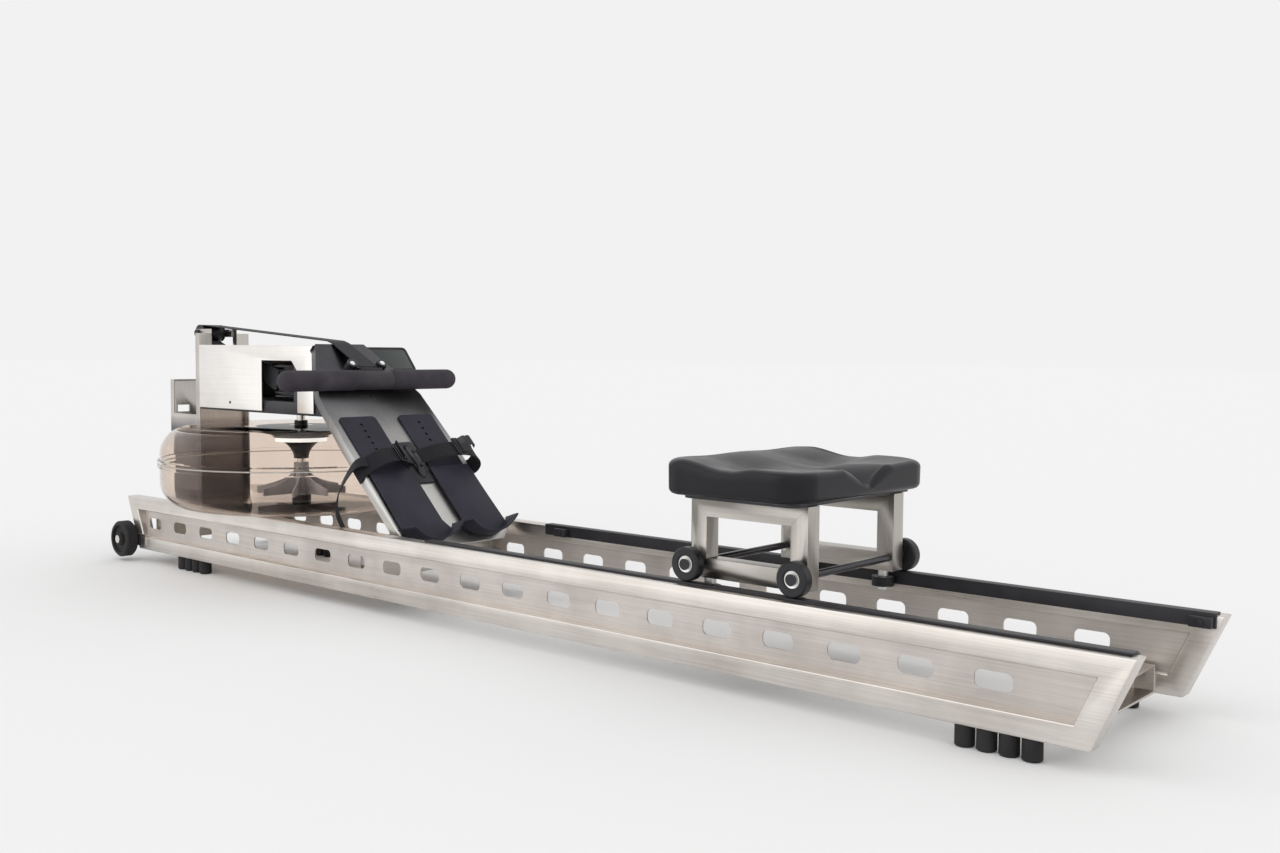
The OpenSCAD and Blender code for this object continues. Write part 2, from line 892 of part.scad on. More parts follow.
module foot_plates() {
    color("black")
        on_board()
            for (s = [-1, 1]) {
                translate([0, s * plate_y, 0])
                    difference() {
                        linear_extrude(plate_t)
                            translate([(base_plate_top + base_plate_end) / 2, 0])
                                rounded_rect(base_plate_end - base_plate_top, plate_w, 8);
                        for (n = [0 : 5]) {
                            translate([first_hole + n * hole_pitch, 0, -1]) cylinder(r = 3, h = plate_t + 2);
                        }
                    }
            }
}

// Sliding heel plate with its raised cup
module heel_plate() {
    half = heel_w / 2;
    inner = -heel_y + heel_inner_y;
    on_board()
        translate([0, heel_y, plate_t + run_gap])
            union() {
                linear_extrude(plate_t)
                    polygon(concat(
                        [[heel_top, inner], [heel_top, half], [cup_u + 24, half + 2]],
                        [
                            for (a = [cup_sweep : -cup_sweep / 6 : -cup_sweep])
                                [cup_u + cup_r * cos(a), cup_r * sin(a)]
                        ],
                        [[cup_u + 24, inner]]
                    ));
                translate([cup_u, 0, plate_t - 1])
                    rotate([0, 0, 3 - cup_sweep])
                        rotate_extrude(angle = 2 * cup_sweep - 6, $fn = 96)
                            polygon([
                                [cup_r - 6, 0], [cup_r - 2, 0], [cup_r + 4, 17],
                                [cup_r + 9, cup_h], [cup_r + 5.8, cup_h + 1.5], [cup_r, 18]
                            ]);
            }
}

module near_heel_plate() {
    color("black") mirror([0, 1, 0]) heel_plate();
}

module far_heel_plate() {
    color("black") heel_plate();
}

module strap_clamp() {
    color("black")
        on_board()
            difference() {
                union() {
                    translate([300, 0, 0]) linear_extrude(3) rounded_rect(96, 38, 5);
                    hull() {
                        translate([262, -8, 2]) cube([4, 16, 4]);
                        translate([278, -9, 2]) cube([44, 18, 13]);
                        translate([330, -8, 2]) cube([6, 16, 5]);
                    }
                }
                for (u = [284, 316]) {
                    translate([u, 0, -1]) cylinder(r = 2.5, h = 30);
                }
            }
}

module clamp_screws() {
    color("silver")
        on_board()
            union() {
                for (u = [284, 316]) {
                    translate([u, 0, 0]) cylinder(r = 2.5, h = 15);
                    translate([u, 0, 15]) cylinder(r1 = 4.5, r2 = 3, h = 2);
                }
                translate([139, 0, 0]) cylinder(r1 = 4.5, r2 = 3, h = 2);
            }
}

function strap_phase(y) = 180 * (y - strap_y0) / (strap_y1 - strap_y0);
function strap_height(y) = strap_base + strap_rise * sin(strap_phase(y));
function strap_slope(y) = atan(strap_rise * PI / (strap_y1 - strap_y0) * cos(strap_phase(y)));

// Webbing arch over a foot plate, from the clamp to the footboard's edge
module foot_strap() {
    half = board_w / 2;
    steps = 16;
    t = strap_sheet;
    y0 = strap_y0;
    base = strap_base;
    line = [for (i = [0 : steps]) y0 + (strap_y1 - y0) * i / steps];
    top_line = [for (y = line) [y, strap_height(y) + t]];
    low_line = [for (i = [steps : -1 : 0]) [line[i], strap_height(line[i])]];
    on_board()
        union() {
            translate([282, 0, 0])
                rotate([90, 0, 90])
                    linear_extrude(30) polygon(concat(top_line, low_line));
            translate([282, half + 0.4, -board_flange]) cube([30, t, board_flange + base + t]);
            translate([282, 9.2, 3.2]) cube([30, y0 - 9.2 + 1, base + t - 3.2]);
        }
}

module foot_straps() {
    color("black") both_sides() foot_strap();
}

module foot_buckles() {
    color("black")
        on_board()
            for (y = [-36, 92]) {
                translate([297, y, strap_height(abs(y)) + strap_sheet + 0.4])
                    rotate([sign(y) * strap_slope(abs(y)), 0, 0])
                        difference() {
                            translate([-20, -9, 0]) cube([40, 18, 6]);
                            translate([-15, -6, -1]) cube([30, 4, 8]);
                            translate([-15, 2, -1]) cube([30, 4, 8]);
                        }
            }
}

// Handle

module at_handle() {
    translate([from_rear(handle_x), 0, handle_z]) children();
}

module handle_core() {
    color("silver") at_handle() rod_y(core_r, -handle_l / 2 + 10, handle_l / 2 - 10);
}

module handle_grips() {
    color("black")
        at_handle()
            both_sides()
                translate([0, clamp_l / 2, 0])
                    rotate([-90, 0, 0])
                        rotate_extrude()
                            polygon(concat(
                                [[core_r, 0], [grip_r, 0]],
                                arc(0, handle_l / 2 - clamp_l / 2 - grip_r, grip_r, 0, 90, 10),
                                [[0, handle_l / 2 - clamp_l / 2 - 10], [core_r, handle_l / 2 - clamp_l / 2 - 10]]
                            ));
}

module handle_clamp() {
    color("dimgray")
        at_handle()
            difference() {
                union() {
                    rod_y(grip_r - 0.6, -clamp_l / 2, clamp_l / 2);
                    translate([-14, -strap_w / 2 - 3, grip_r - 8]) cube([16, strap_w + 6, 12]);
                }
                rod_y(core_r, -clamp_l, clamp_l);
            }
}

// Strap from the handle clamp over the board's top edge, round the pulley and to the drum
// A station of the strap: its middle, and the directions of its width and thickness
function flat_station(p, slope) = [p, [0, 1, 0], [-sin(slope), 0, cos(slope)]];

function turn_station(c, r, a) = [c + r * [cos(a), 0, sin(a)], [0, 1, 0], [cos(a), 0, sin(a)]];

function twist_station(a, b, k) =
    let (roll = 90 * k * k * (3 - 2 * k))
    [a + (b - a) * k, [0, cos(roll), sin(roll)], [0, sin(roll), -cos(roll)]];

function station_corners(s) = [
    for (c = [[-1, -1], [1, -1], [1, 1], [-1, 1]])
        s[0] + s[1] * c[0] * strap_w / 2 + s[2] * c[1] * strap_t / 2
];

module rowing_strap() {
    px = from_rear(tower_from_rear + pulley_x_ahead);
    centre = [px, 0, pulley_z];
    low_turn = [px, 0, pulley_z - pulley_turn_r];
    drum_in = [from_rear(tank_from_rear) - 10, -drum_r - strap_t - 0.3, drum_z + 3 + strap_w / 2];
    edge = [from_rear(strap_edge_x), 0, strap_edge_z];
    tail = [from_rear(handle_x) - 8, 0, handle_z + grip_r + 5.2];
    low_slope = -atan((edge[2] - tail[2]) / (tail[0] - edge[0]));
    top_slope = -atan((pulley_z + pulley_turn_r - edge[2]) / (edge[0] - px));
    turn_steps = 12;
    twist_steps = 16;
    stations = concat(
        [flat_station(tail, low_slope), flat_station(edge, (low_slope + top_slope) / 2)],
        [for (i = [0 : turn_steps])
            turn_station(centre, pulley_turn_r, 90 - top_slope * (1 - i / turn_steps) + 180 * i / turn_steps)],
        [for (i = [1 : twist_steps]) twist_station(low_turn, drum_in, i / twist_steps)]
    );
    count = len(stations);
    points = [for (s = stations) each station_corners(s)];
    walls = [for (i = [0 : count - 2], j = [0 : 3], k = [0, 1])
        let (a = 4 * i + j, b = 4 * i + (j + 1) % 4)
        k == 0 ? [a, b + 4, b] : [a, a + 4, b + 4]];
    ends = [[0, 1, 2], [0, 2, 3], [4 * count - 4, 4 * count - 2, 4 * count - 3],
        [4 * count - 4, 4 * count - 1, 4 * count - 2]];
    color("dimgray") polyhedron(points, concat(walls, ends));
}

// Monitor

module at_monitor() {
    translate([from_rear(monitor_from_rear), monitor_y, monitor_z])
        rotate([0, monitor_tilt, 0]) children();
}

module monitor_housing() {
    color("black")
        at_monitor()
            difference() {
                translate([0, -monitor_l / 2, -16]) cube([monitor_drop, monitor_l, 16]);
                translate([6, -monitor_l / 2 + 6, -2]) cube([monitor_drop - 12, monitor_l - 12, 3]);
                translate([monitor_drop / 2 - 6, -12.3, -17]) cube([12, 24.6, 8]);
            }
}

module monitor_screen() {
    color("darkslategray")
        at_monitor()
            translate([6, -monitor_l / 2 + 6, -2]) cube([monitor_drop - 12, monitor_l - 12, 1.2]);
}

module monitor_arm() {
    color("black")
        union() {
            at_monitor() {
                translate([monitor_drop / 2, 0, -13]) rod_y(3, -12, 12);
                translate([monitor_drop / 2 - 4, -8, -40]) cube([8, 16, 26]);
            }
            translate([from_rear(monitor_from_rear + 20), tower_w / 2 + 1, cover_top - 60])
                cube([20, monitor_y - tower_w / 2 + 8, 12]);
        }
}

// Seat

module seat_frames() {
    color("silver")
        both_sides()
            difference() {
                translate([from_rear(seat_from_rear) - seat_frame_l / 2, seat_frame_in_y, seat_frame_bottom])
                    cube([seat_frame_l, tube, seat_frame_h]);
                translate([from_rear(seat_from_rear) - seat_frame_l / 2 + tube, seat_frame_in_y - 1,
                    seat_frame_bottom + tube])
                    cube([seat_frame_l - 2 * tube, tube + 2, seat_frame_h - 2 * tube]);
                for (s = [-1, 1]) {
                    translate([from_rear(seat_from_rear) + s * wheelbase / 2, 0, seat_wheel_z])
                        rod_y(axle_r, 0, outer_y);
                }
            }
}

module seat_axles() {
    reach = seat_wheel_y + seat_wheel_w / 2 - 2;
    color("dimgray")
        for (s = [-1, 1]) {
            translate([from_rear(seat_from_rear) + s * wheelbase / 2, 0, seat_wheel_z])
                union() {
                    rod_y(axle_r, -reach, reach);
                    rod_y(axle_r + 3, seat_frame_out_y, seat_wheel_y - seat_wheel_w / 2 - 0.3);
                    rod_y(axle_r + 3, -seat_wheel_y + seat_wheel_w / 2 + 0.3, -seat_frame_out_y);
                    rod_y(axle_r + 2.5, reach, reach + 3);
                    rod_y(axle_r + 2.5, -reach - 3, -reach);
                }
        }
}

// Black wheel with a bright bearing pressed into it
module seat_wheel(x) {
    w = seat_wheel_w;
    bearing_r = 11;
    translate([x, seat_wheel_y - w / 2, seat_wheel_z])
        rotate([-90, 0, 0]) {
            rotate_extrude()
                polygon([
                    [bearing_r, 0], [seat_wheel_r - 2, 0], [seat_wheel_r, 2], [seat_wheel_r, w - 2],
                    [seat_wheel_r - 2, w], [bearing_r + 2, w], [bearing_r, w - 2]
                ]);
            rotate_extrude()
                polygon([
                    [axle_r + shaft_gap, 1], [bearing_r, 1], [bearing_r, w - 3],
                    [axle_r + shaft_gap, w - 3]
                ]);
        }
}

module front_seat_wheels() {
    color("black") both_sides() seat_wheel(from_rear(seat_from_rear) - wheelbase / 2);
}

module rear_seat_wheels() {
    color("black") both_sides() seat_wheel(from_rear(seat_from_rear) + wheelbase / 2);
}

module guide_roller(s, side) {
    translate([from_rear(seat_from_rear) + s * guide_off, side * guide_y, guide_z])
        difference() {
            cylinder(r = guide_r, h = guide_h);
            translate([0, 0, -1]) cylinder(r = 4 + shaft_gap, h = guide_h + 2);
        }
}

module near_front_guide_roller() {
    color("black") guide_roller(-1, -1);
}

module near_rear_guide_roller() {
    color("black") guide_roller(1, -1);
}

module far_front_guide_roller() {
    color("black") guide_roller(-1, 1);
}

module far_rear_guide_roller() {
    color("black") guide_roller(1, 1);
}

module guide_bolts() {
    color("silver")
        both_sides()
            for (s = [-1, 1]) {
                translate([from_rear(seat_from_rear) + s * guide_off, guide_y, 0])
                    union() {
                        translate([0, 0, guide_z - 5]) cylinder(r = 7, h = 4.7);
                        translate([0, 0, guide_z - 1]) cylinder(r = 4, h = seat_frame_bottom - guide_z + 1);
                        translate([0, 0, guide_z + guide_h + run_gap])
                            cylinder(r = 7, h = seat_frame_bottom - guide_z - guide_h - run_gap);
                    }
            }
}

module seat_plate() {
    color("black")
        translate([from_rear(seat_from_rear), 0, seat_frame_top])
            linear_extrude(seat_plate_t) rounded_rect(pad_l - 34, pad_w - 34, 14);
}

// Contoured pad: high front corners, a dish for each thigh and a deep notch at the rear edge
function pad_top(x, y) =
    let (
        u = 2 * x / pad_l,
        v = abs(2 * y / pad_w),
        side = pad_middle_h + 10 * pow(max(0, -u), 2) + 4 * pow(max(0, u), 2),
        dish = 8 * exp(-pow((v - 0.45) / 0.28, 2)) * exp(-pow(u / 0.75, 2)),
        ramp = min(1, max(0, (u + 0.5) / 1.4)),
        notch = (side - notch_floor_h) * max(0, 1 - abs(y) / notch_half_w) * ramp * ramp * (3 - 2 * ramp)
    )
    side - dish - notch;

// Points of a rounded rectangle, evenly spaced along each side
function pad_outline(hx, hy, r) = concat(
    [for (i = [0 : 9]) [hx, (hy - r) * (i / 5 - 1)]],
    [for (i = [0 : 3]) [hx - r + r * cos(22.5 * i), hy - r + r * sin(22.5 * i)]],
    [for (i = [0 : 5]) [(hx - r) * (1 - i / 3), hy]],
    [for (i = [0 : 3]) [-hx + r - r * sin(22.5 * i), hy - r + r * cos(22.5 * i)]],
    [for (i = [0 : 9]) [-hx, (hy - r) * (1 - i / 5)]],
    [for (i = [0 : 3]) [-hx + r - r * cos(22.5 * i), -hy + r - r * sin(22.5 * i)]],
    [for (i = [0 : 5]) [(hx - r) * (i / 3 - 1), -hy]],
    [for (i = [0 : 3]) [hx - r + r * sin(22.5 * i), -hy + r - r * cos(22.5 * i)]]
);

module seat_pad() {
    outline = pad_outline(pad_l / 2, pad_w / 2, pad_corner);
    nv = len(outline);
    tops = [1, 0.99, 0.965, 0.93, 0.86, 0.76, 0.64, 0.5, 0.36, 0.22, 0.1];
    drops = [9, 4, 1.2, 0.2, 0, 0, 0, 0, 0, 0, 0];
    low_ring = [for (p = outline) [0.95 * p[0], 0.96 * p[1], 0]];
    mid_ring = [for (p = outline) [0.985 * p[0], 0.99 * p[1], 4]];
    top_rings = [for (i = [0 : len(tops) - 1]) for (p = outline)
        [tops[i] * p[0], tops[i] * p[1], max(6, pad_top(tops[i] * p[0], tops[i] * p[1]) - drops[i])]];
    points = concat(low_ring, mid_ring, top_rings, [[0, 0, pad_top(0, 0)], [0, 0, 0]]);
    rings = len(tops) + 2;
    peak = rings * nv;
    sides = [for (i = [0 : rings - 2]) for (j = [0 : nv - 1]) for (k = [0, 1])
        let (a = i * nv + j, b = i * nv + (j + 1) % nv, c = a + nv, d = b + nv)
        k == 0 ? [a, d, b] : [a, c, d]];
    lid = [for (j = [0 : nv - 1]) [(rings - 1) * nv + j, peak, (rings - 1) * nv + (j + 1) % nv]];
    floor_faces = [for (j = [0 : nv - 1]) [j, (j + 1) % nv, peak + 1]];
    color("black")
        translate([from_rear(seat_from_rear), 0, pad_bottom])
            polyhedron(points, concat(sides, lid, floor_faces));
}

near_rail_frame();
far_rail_frame();
rail_webs();
running_tracks();
track_stops();
rubber_feet();
rear_crossmember();
board_crossmember();
front_crossmember();
crossmember_bolts();
transport_axles();
tank_pads();
tank_lower_shell();
tank_upper_shell();
tank_gasket();
tank_neck();
bearing_ring();
deck_tray();
tower();
storage_post();
pulley_axle();
steel_cover();
footboard();
handle_pegs();
peg_caps();
foot_plates();
strap_clamp();
clamp_screws();
foot_straps();
foot_buckles();
monitor_arm();
recoil_cord();
near_heel_plate();
far_heel_plate();
near_transport_wheel();
far_transport_wheel();
paddle();
paddle_shaft();
drive_hub();
hub_strap_winding();
top_pulley();
recoil_pulley();
handle_core();
handle_grips();
handle_clamp();
rowing_strap();
monitor_housing();
monitor_screen();
seat_pad();
seat_plate();
seat_frames();
seat_axles();
front_seat_wheels();
rear_seat_wheels();
near_front_guide_roller();
near_rear_guide_roller();
far_front_guide_roller();
far_rear_guide_roller();
guide_bolts();
bottom_bearing();
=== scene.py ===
"""Water rowing machine: finishes, soft pieces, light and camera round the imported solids.

Metres. X runs along the rails towards the end where the rower slides back, Y across, Z up.
"""

import json
import math

import bmesh
import bpy
import numpy as np
from mathutils import Matrix


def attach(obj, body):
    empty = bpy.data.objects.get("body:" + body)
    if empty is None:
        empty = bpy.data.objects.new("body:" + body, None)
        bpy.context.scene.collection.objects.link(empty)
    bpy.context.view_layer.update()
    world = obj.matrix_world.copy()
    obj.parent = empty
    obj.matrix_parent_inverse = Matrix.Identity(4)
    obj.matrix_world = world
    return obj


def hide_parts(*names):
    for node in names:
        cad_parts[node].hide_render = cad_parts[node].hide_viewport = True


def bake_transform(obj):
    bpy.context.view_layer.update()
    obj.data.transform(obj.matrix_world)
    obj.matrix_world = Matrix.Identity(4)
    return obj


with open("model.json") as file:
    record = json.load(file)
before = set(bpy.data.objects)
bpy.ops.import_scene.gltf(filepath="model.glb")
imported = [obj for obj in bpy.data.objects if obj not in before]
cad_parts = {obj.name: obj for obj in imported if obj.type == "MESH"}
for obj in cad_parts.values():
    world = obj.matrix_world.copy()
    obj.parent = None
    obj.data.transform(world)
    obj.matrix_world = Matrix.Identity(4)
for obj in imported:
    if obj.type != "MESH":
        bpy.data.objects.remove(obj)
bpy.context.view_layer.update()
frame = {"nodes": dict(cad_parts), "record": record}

nodes = frame["nodes"]
scene = bpy.context.scene

# Places that the solids share with this script. BOARD_STRAP is measured down the board from its top edge, PULLEY_TURN
# is the strap's radius round the pulley, and AXLE_OFF how far a seat axle is from the seat's middle.

HALF_LENGTH = 1.036
RAIL_TOP = 0.129
SEAT_X = HALF_LENGTH - 0.5085
PAD_LOW = 0.2475
PAD_LONG, PAD_WIDE, PAD_HIGH = 0.217, 0.328, 0.047
TANK_X = HALF_LENGTH - 1.661
TANK_LOW = RAIL_TOP + 0.004
TANK_HIGH = TANK_LOW + 0.152
TANK_SEAM = TANK_LOW + 0.084
TANK_R = 0.257
BOARD_TOP = np.array([HALF_LENGTH - 1.5345, 0.0, 0.441])
BOARD_TILT = math.radians(44)
BOARD_STRAP = 0.293
PULLEY = np.array([HALF_LENGTH - 1.985, 0.0, 0.463])
PULLEY_TURN = 0.0161
DRUM_Z = 0.371
STRAP_WIDE, STRAP_THICK = 0.040, 0.0016
WEBBING_THICK = 0.0018
WHEEL_FACE, WHEEL_Z, AXLE_OFF = 0.1383, 0.1548, 0.0835
HANDLE = np.array([HALF_LENGTH - 1.44013, 0.0, 0.37610])


# Camera

def look_from(place, swing, dip, roll, focal_px, frame_px):
    """Camera at place, with a for the swing and e for the dip, both in degrees.

    Its back is (sin a cos e, -cos a cos e, sin e), its right (cos a, sin a, 0) turned by the roll."""
    a, e, r = (math.radians(v) for v in (swing, dip, roll))
    back = np.array([math.sin(a) * math.cos(e), -math.cos(a) * math.cos(e), math.sin(e)])
    right = np.array([math.cos(a), math.sin(a), 0.0])
    up = np.cross(back, right)
    turned_right = right * math.cos(r) + up * math.sin(r)
    turned_up = up * math.cos(r) - right * math.sin(r)
    data = bpy.data.cameras.new("camera")
    data.sensor_width = 36.0
    data.lens = 36.0 * focal_px / frame_px
    data.clip_start, data.clip_end = 0.05, 100.0
    camera = bpy.data.objects.new("camera", data)
    matrix = np.eye(4)
    matrix[:3, 0], matrix[:3, 1], matrix[:3, 2], matrix[:3, 3] = turned_right, turned_up, back, place
    camera.matrix_world = Matrix(matrix.tolist())
    scene.collection.objects.link(camera)
    scene.camera = camera


look_from(
    place=(1.4813, -1.4243, 0.4323), swing=41.0034, dip=3.3895, roll=0.443, focal_px=1273.39, frame_px=1280
)


# Finishes

class Finish:
    """A material with short calls for its nodes."""

    def __init__(self, name, colour, rough, metal=0.0):
        self.material = bpy.data.materials.new(name)
        self.material.use_nodes = True
        self.tree = self.material.node_tree
        self.shader = self.tree.nodes["Principled BSDF"]
        self.shader.inputs["Base Color"].default_value = (*colour, 1)
        self.shader.inputs["Roughness"].default_value = rough
        self.shader.inputs["Metallic"].default_value = metal
        self.place = self.tree.nodes.new("ShaderNodeTexCoord").outputs["Object"]

    def set(self, **values):
        """Shader sockets by name, with _ for a space."""
        for name, value in values.items():
            self.shader.inputs[name.replace("_", " ")].default_value = value
        return self

    def node(self, kind, **values):
        """A new node with its sockets' values by name, with _ for a space."""
        node = self.tree.nodes.new("ShaderNode" + kind)
        for name, value in values.items():
            node.inputs[name.replace("_", " ")].default_value = value
        return node

    def from_uv(self):
        self.place = self.node("UVMap").outputs["UV"]
        return self

    def stretched(self, scale, turn=(0, 0, 0)):
        node = self.node("Mapping", Scale=scale, Rotation=turn)
        self.tree.links.new(self.place, node.inputs["Vector"])
        return node.outputs["Vector"]

    def grain(self, scale, detail=3.0, at=None):
        node = self.node("TexNoise", Scale=scale, Detail=detail, Roughness=0.55)
        self.tree.links.new(at or self.place, node.inputs["Vector"])
        return node.outputs["Fac"]

    def cells(self, scale):
        node = self.node("TexVoronoi", Scale=scale)
        self.tree.links.new(self.place, node.inputs["Vector"])
        return node.outputs["Distance"]

    def waves(self, scale, direction):
        node = self.node("TexWave", Scale=scale)
        node.bands_direction = direction
        self.tree.links.new(self.place, node.inputs["Vector"])
        return node.outputs["Fac"]

    def op(self, how, a, b=0.0):
        """The result of a math node, a and b each being a socket or a number."""
        node = self.node("Math")
        node.operation = how
        for socket, value in zip(node.inputs, (a, b)):
            if isinstance(value, (int, float)):
                socket.default_value = value
            else:
                self.tree.links.new(value, socket)
        return node.outputs[0]

    def plus(self, a, b):
        return self.op("ADD", a, b)

    def minus(self, a, b):
        return self.op("SUBTRACT", a, b)

    def times(self, a, b):
        return self.op("MULTIPLY", a, b)

    def blend(self, a, share_a, b, share_b):
        """share_a a + share_b b"""
        return self.plus(self.times(a, share_a), self.times(b, share_b))

    def spread(self, value, low, high, low_in=0.3, high_in=0.7):
        """The value's stretch from low_in to high_in, taken to low and high."""
        node = self.node("MapRange", From_Min=low_in, From_Max=high_in, To_Min=low, To_Max=high)
        self.tree.links.new(value, node.inputs["Value"])
        return node.outputs["Result"]

    def along(self, direction, place):
        """How far the place, or another vector, reaches along a direction."""
        node = self.node("VectorMath")
        node.operation = "DOT_PRODUCT"
        node.inputs[1].default_value = direction
        self.tree.links.new(place, node.inputs[0])
        return node.outputs["Value"]

    def plane(self, a, b, c):
        """Signed distance a x + b z + c from a plane that stands along Y."""
        return self.plus(self.along((a, 0, b), self.place), c)

    def between(self, factor, a, b):
        """a where the factor is 0, b where it is 1."""
        return self.plus(a, self.times(factor, self.minus(b, a)))

    def roughness(self, value, low, high):
        self.tree.links.new(self.spread(value, low, high), self.shader.inputs["Roughness"])
        return self

    def colours(self, value, *stops):
        """Base colour by the value, from stops of a position and a colour."""
        node = self.node("ValToRGB")
        ramp = node.color_ramp
        while len(ramp.elements) < len(stops):
            ramp.elements.new(0.5)
        for element, (at, colour) in zip(ramp.elements, stops):
            element.position = at
            element.color = (*colour, 1)
        self.tree.links.new(value, node.inputs["Fac"])
        self.tree.links.new(node.outputs["Color"], self.shader.inputs["Base Color"])
        return self

    def bump(self, value, depth, strength=1.0):
        node = self.node("Bump", Distance=depth, Strength=strength)
        self.tree.links.new(value, node.inputs["Height"])
        self.tree.links.new(node.outputs["Normal"], self.shader.inputs["Normal"])
        return self


# Scales of the grain that make streaks along one axis
ALONG_X, ALONG_Y, ALONG_Z, EVEN = (6, 500, 500), (500, 6, 500), (500, 500, 6), (300, 300, 300)


def brushed_steel(name, light, dark, stretch, rough=(0.24, 0.40)):
    """Stainless steel brushed along one axis: fine streaks, and broad patches of uneven brushing."""
    f = Finish(name, light, 0.3, metal=1.0)
    streaks = f.grain(1.0, 4.0, f.stretched(stretch))
    patches = f.grain(9.0, 3.0)
    f.roughness(f.blend(streaks, 0.5, patches, 0.5), *rough)
    f.colours(f.blend(streaks, 0.4, patches, 0.6), (0.36, dark), (0.62, light))
    f.bump(streaks, 0.00004, 0.5)
    return f.set(Anisotropic=0.4).material


def weld_line(f, distance, half_wide):
    """1 on the line where the distance is nothing, falling to 0 at half_wide on both sides."""
    return f.spread(f.op("ABSOLUTE", distance), 1.0, 0.0, 0.0002, half_wide)


# Mitres of a rail's end: outer and inner corner as distance from the tip and height, then the side (1 above, -1 below)
# and the height of the level that its weld line keeps to
MITRES = (((0, 0.129), (0.0412, 0.1036), 1, 0.1036), ((0.046, 0.025), (0.0648, 0.0504), -1, 0.0385))
END_LEAN = math.atan2(0.046, 0.104)
TIP_TO_TIP = 2.050


def mitred_steel(name, light, dark):
    """Rail steel: long tubes brushed along X, end tubes along their own slope, and a fine weld line at each mitre.

    A mitre is the line through its two corners; the end tube is where both lines of an end have it outside."""
    f = Finish(name, light, 0.3, metal=1.0)
    along = f.grain(1.0, 4.0, f.stretched(ALONG_X))
    ends, lines = [], []
    for sign, tip in ((1, HALF_LENGTH), (-1, HALF_LENGTH - TIP_TO_TIP)):
        up_down = f.grain(1.0, 4.0, f.stretched(ALONG_Z, (0, sign * END_LEAN, 0)))
        outside = []
        for outer, inner, side, level in MITRES:
            a, b = outer[1] - inner[1], -sign * (outer[0] - inner[0])
            size = math.hypot(a, b) * (1 if a * sign > 0 else -1)
            a, b = a / size, b / size
            far = f.plane(a, b, -(a * (tip - sign * outer[0]) + b * outer[1]))
            outside.append(far)
            here = f.op("GREATER_THAN", f.plane(0, side, -side * level))
            lines.append(f.times(weld_line(f, far, 0.0011), here))
        ends.append((f.op("GREATER_THAN", f.op("MINIMUM", *outside)), up_down))
    streaks = f.between(ends[1][0], f.between(ends[0][0], along, ends[0][1]), ends[1][1])
    weld = f.op("MAXIMUM", f.op("MAXIMUM", *lines[:2]), f.op("MAXIMUM", *lines[2:]))
    patches = f.grain(7.0, 4.0)
    mixed = f.blend(streaks, 0.4, patches, 0.6)
    f.roughness(mixed, 0.24, 0.42)
    middle = tuple(0.5 * (p + q) for p, q in zip(light, dark))
    f.colours(f.minus(mixed, f.times(weld, 0.16)), (0.30, dark), (0.46, middle), (0.60, light))
    f.bump(f.plus(streaks, f.times(weld, -3.0)), 0.00004, 0.6)
    return f.material


def seat_frame_steel(name, light, dark):
    """Seat frame steel: cross tubes brushed along X, legs along Z, and fine weld lines on the corners' diagonals.

    Inside a leg where |x - x0| is more than the half opening plus the height left to the tube's edge."""
    f = Finish(name, light, 0.3, metal=1.0)
    along = f.grain(1.0, 4.0, f.stretched((7, 450, 450)))
    upright = f.grain(1.0, 4.0, f.stretched((450, 450, 7)))
    low, high, half_opening = 0.1365, 0.2425, 0.0915
    aside = f.minus(f.op("ABSOLUTE", f.plane(1, 0, -SEAT_X)), half_opening)
    height = f.plane(0, 1, 0)
    apart = f.plus(aside, f.op("MINIMUM", f.minus(height, low), f.minus(high, height)))
    streaks = f.between(f.op("GREATER_THAN", apart), along, upright)
    weld = weld_line(f, apart, 0.0010)
    patches = f.grain(9.0, 4.0)
    mixed = f.blend(streaks, 0.4, patches, 0.6)
    f.roughness(mixed, 0.28, 0.44)
    f.colours(f.minus(mixed, f.times(weld, 0.16)), (0.32, dark), (0.60, light))
    return f.bump(f.plus(streaks, f.times(weld, -3.0)), 0.00004, 0.5).material


def board_brushed_with_painted_shade(name):
    """Footboard steel, brushed down the slope, with painted shade: dark at the top under the handle and light at the
    lower end.
    """
    f = Finish(name, (0.5, 0.5, 0.48), 0.35, metal=1.0)
    streaks = f.grain(1.0, 4.0, f.stretched((420, 420, 12)))
    patches = f.grain(11.0, 4.0)
    # painted shade: the colour darkens towards the top of the board, under the handle
    height = f.spread(f.plane(0, 1, 0), 1.0, 0.0, 0.20, 0.40)
    tone_with_painted_shade = f.plus(f.times(height, 0.7), f.blend(streaks, 0.12, patches, 0.28))
    f.colours(tone_with_painted_shade, (0.16, (0.070, 0.069, 0.078)), (0.46, (0.17, 0.167, 0.172)), (0.95, (0.66, 0.645, 0.62)))
    f.roughness(patches, 0.30, 0.44)
    return f.bump(streaks, 0.00004, 0.5).material


def upright_brushed_with_painted_shade(name, light, dark, painted_shade_light, painted_shade_dark):
    """Tower and post steel, brushed upright: light at the head, and dark from the tank's top down by painted shade.

    The side that faces away from the tank, along -X, gets no painted shade and stays light all the way."""
    f = Finish(name, light, 0.3, metal=1.0)
    streaks = f.grain(1.0, 4.0, f.stretched(ALONG_Z))
    patches = f.grain(9.0, 3.0)
    mixed = f.blend(streaks, 0.4, patches, 0.6)
    # the -X side, which is kept free of the painted shade
    facing = f.along((-1, 0, 0), f.place.node.outputs["Normal"])
    free_of_painted_shade = f.times(f.op("GREATER_THAN", facing, 0.5), 0.5)
    # painted shade: dark below the tank's top, where the steel faces the tank
    height = f.spread(f.plane(0, 1, 0), 0.0, 0.5, 0.266, 0.290)
    tone_with_painted_shade = f.plus(f.times(mixed, 0.5), f.op("MAXIMUM", height, free_of_painted_shade))
    f.colours(tone_with_painted_shade, (0.18, painted_shade_dark), (0.31, painted_shade_light), (0.68, dark), (0.81, light))
    f.roughness(mixed, 0.24, 0.40)
    return f.bump(streaks, 0.00004, 0.5).material


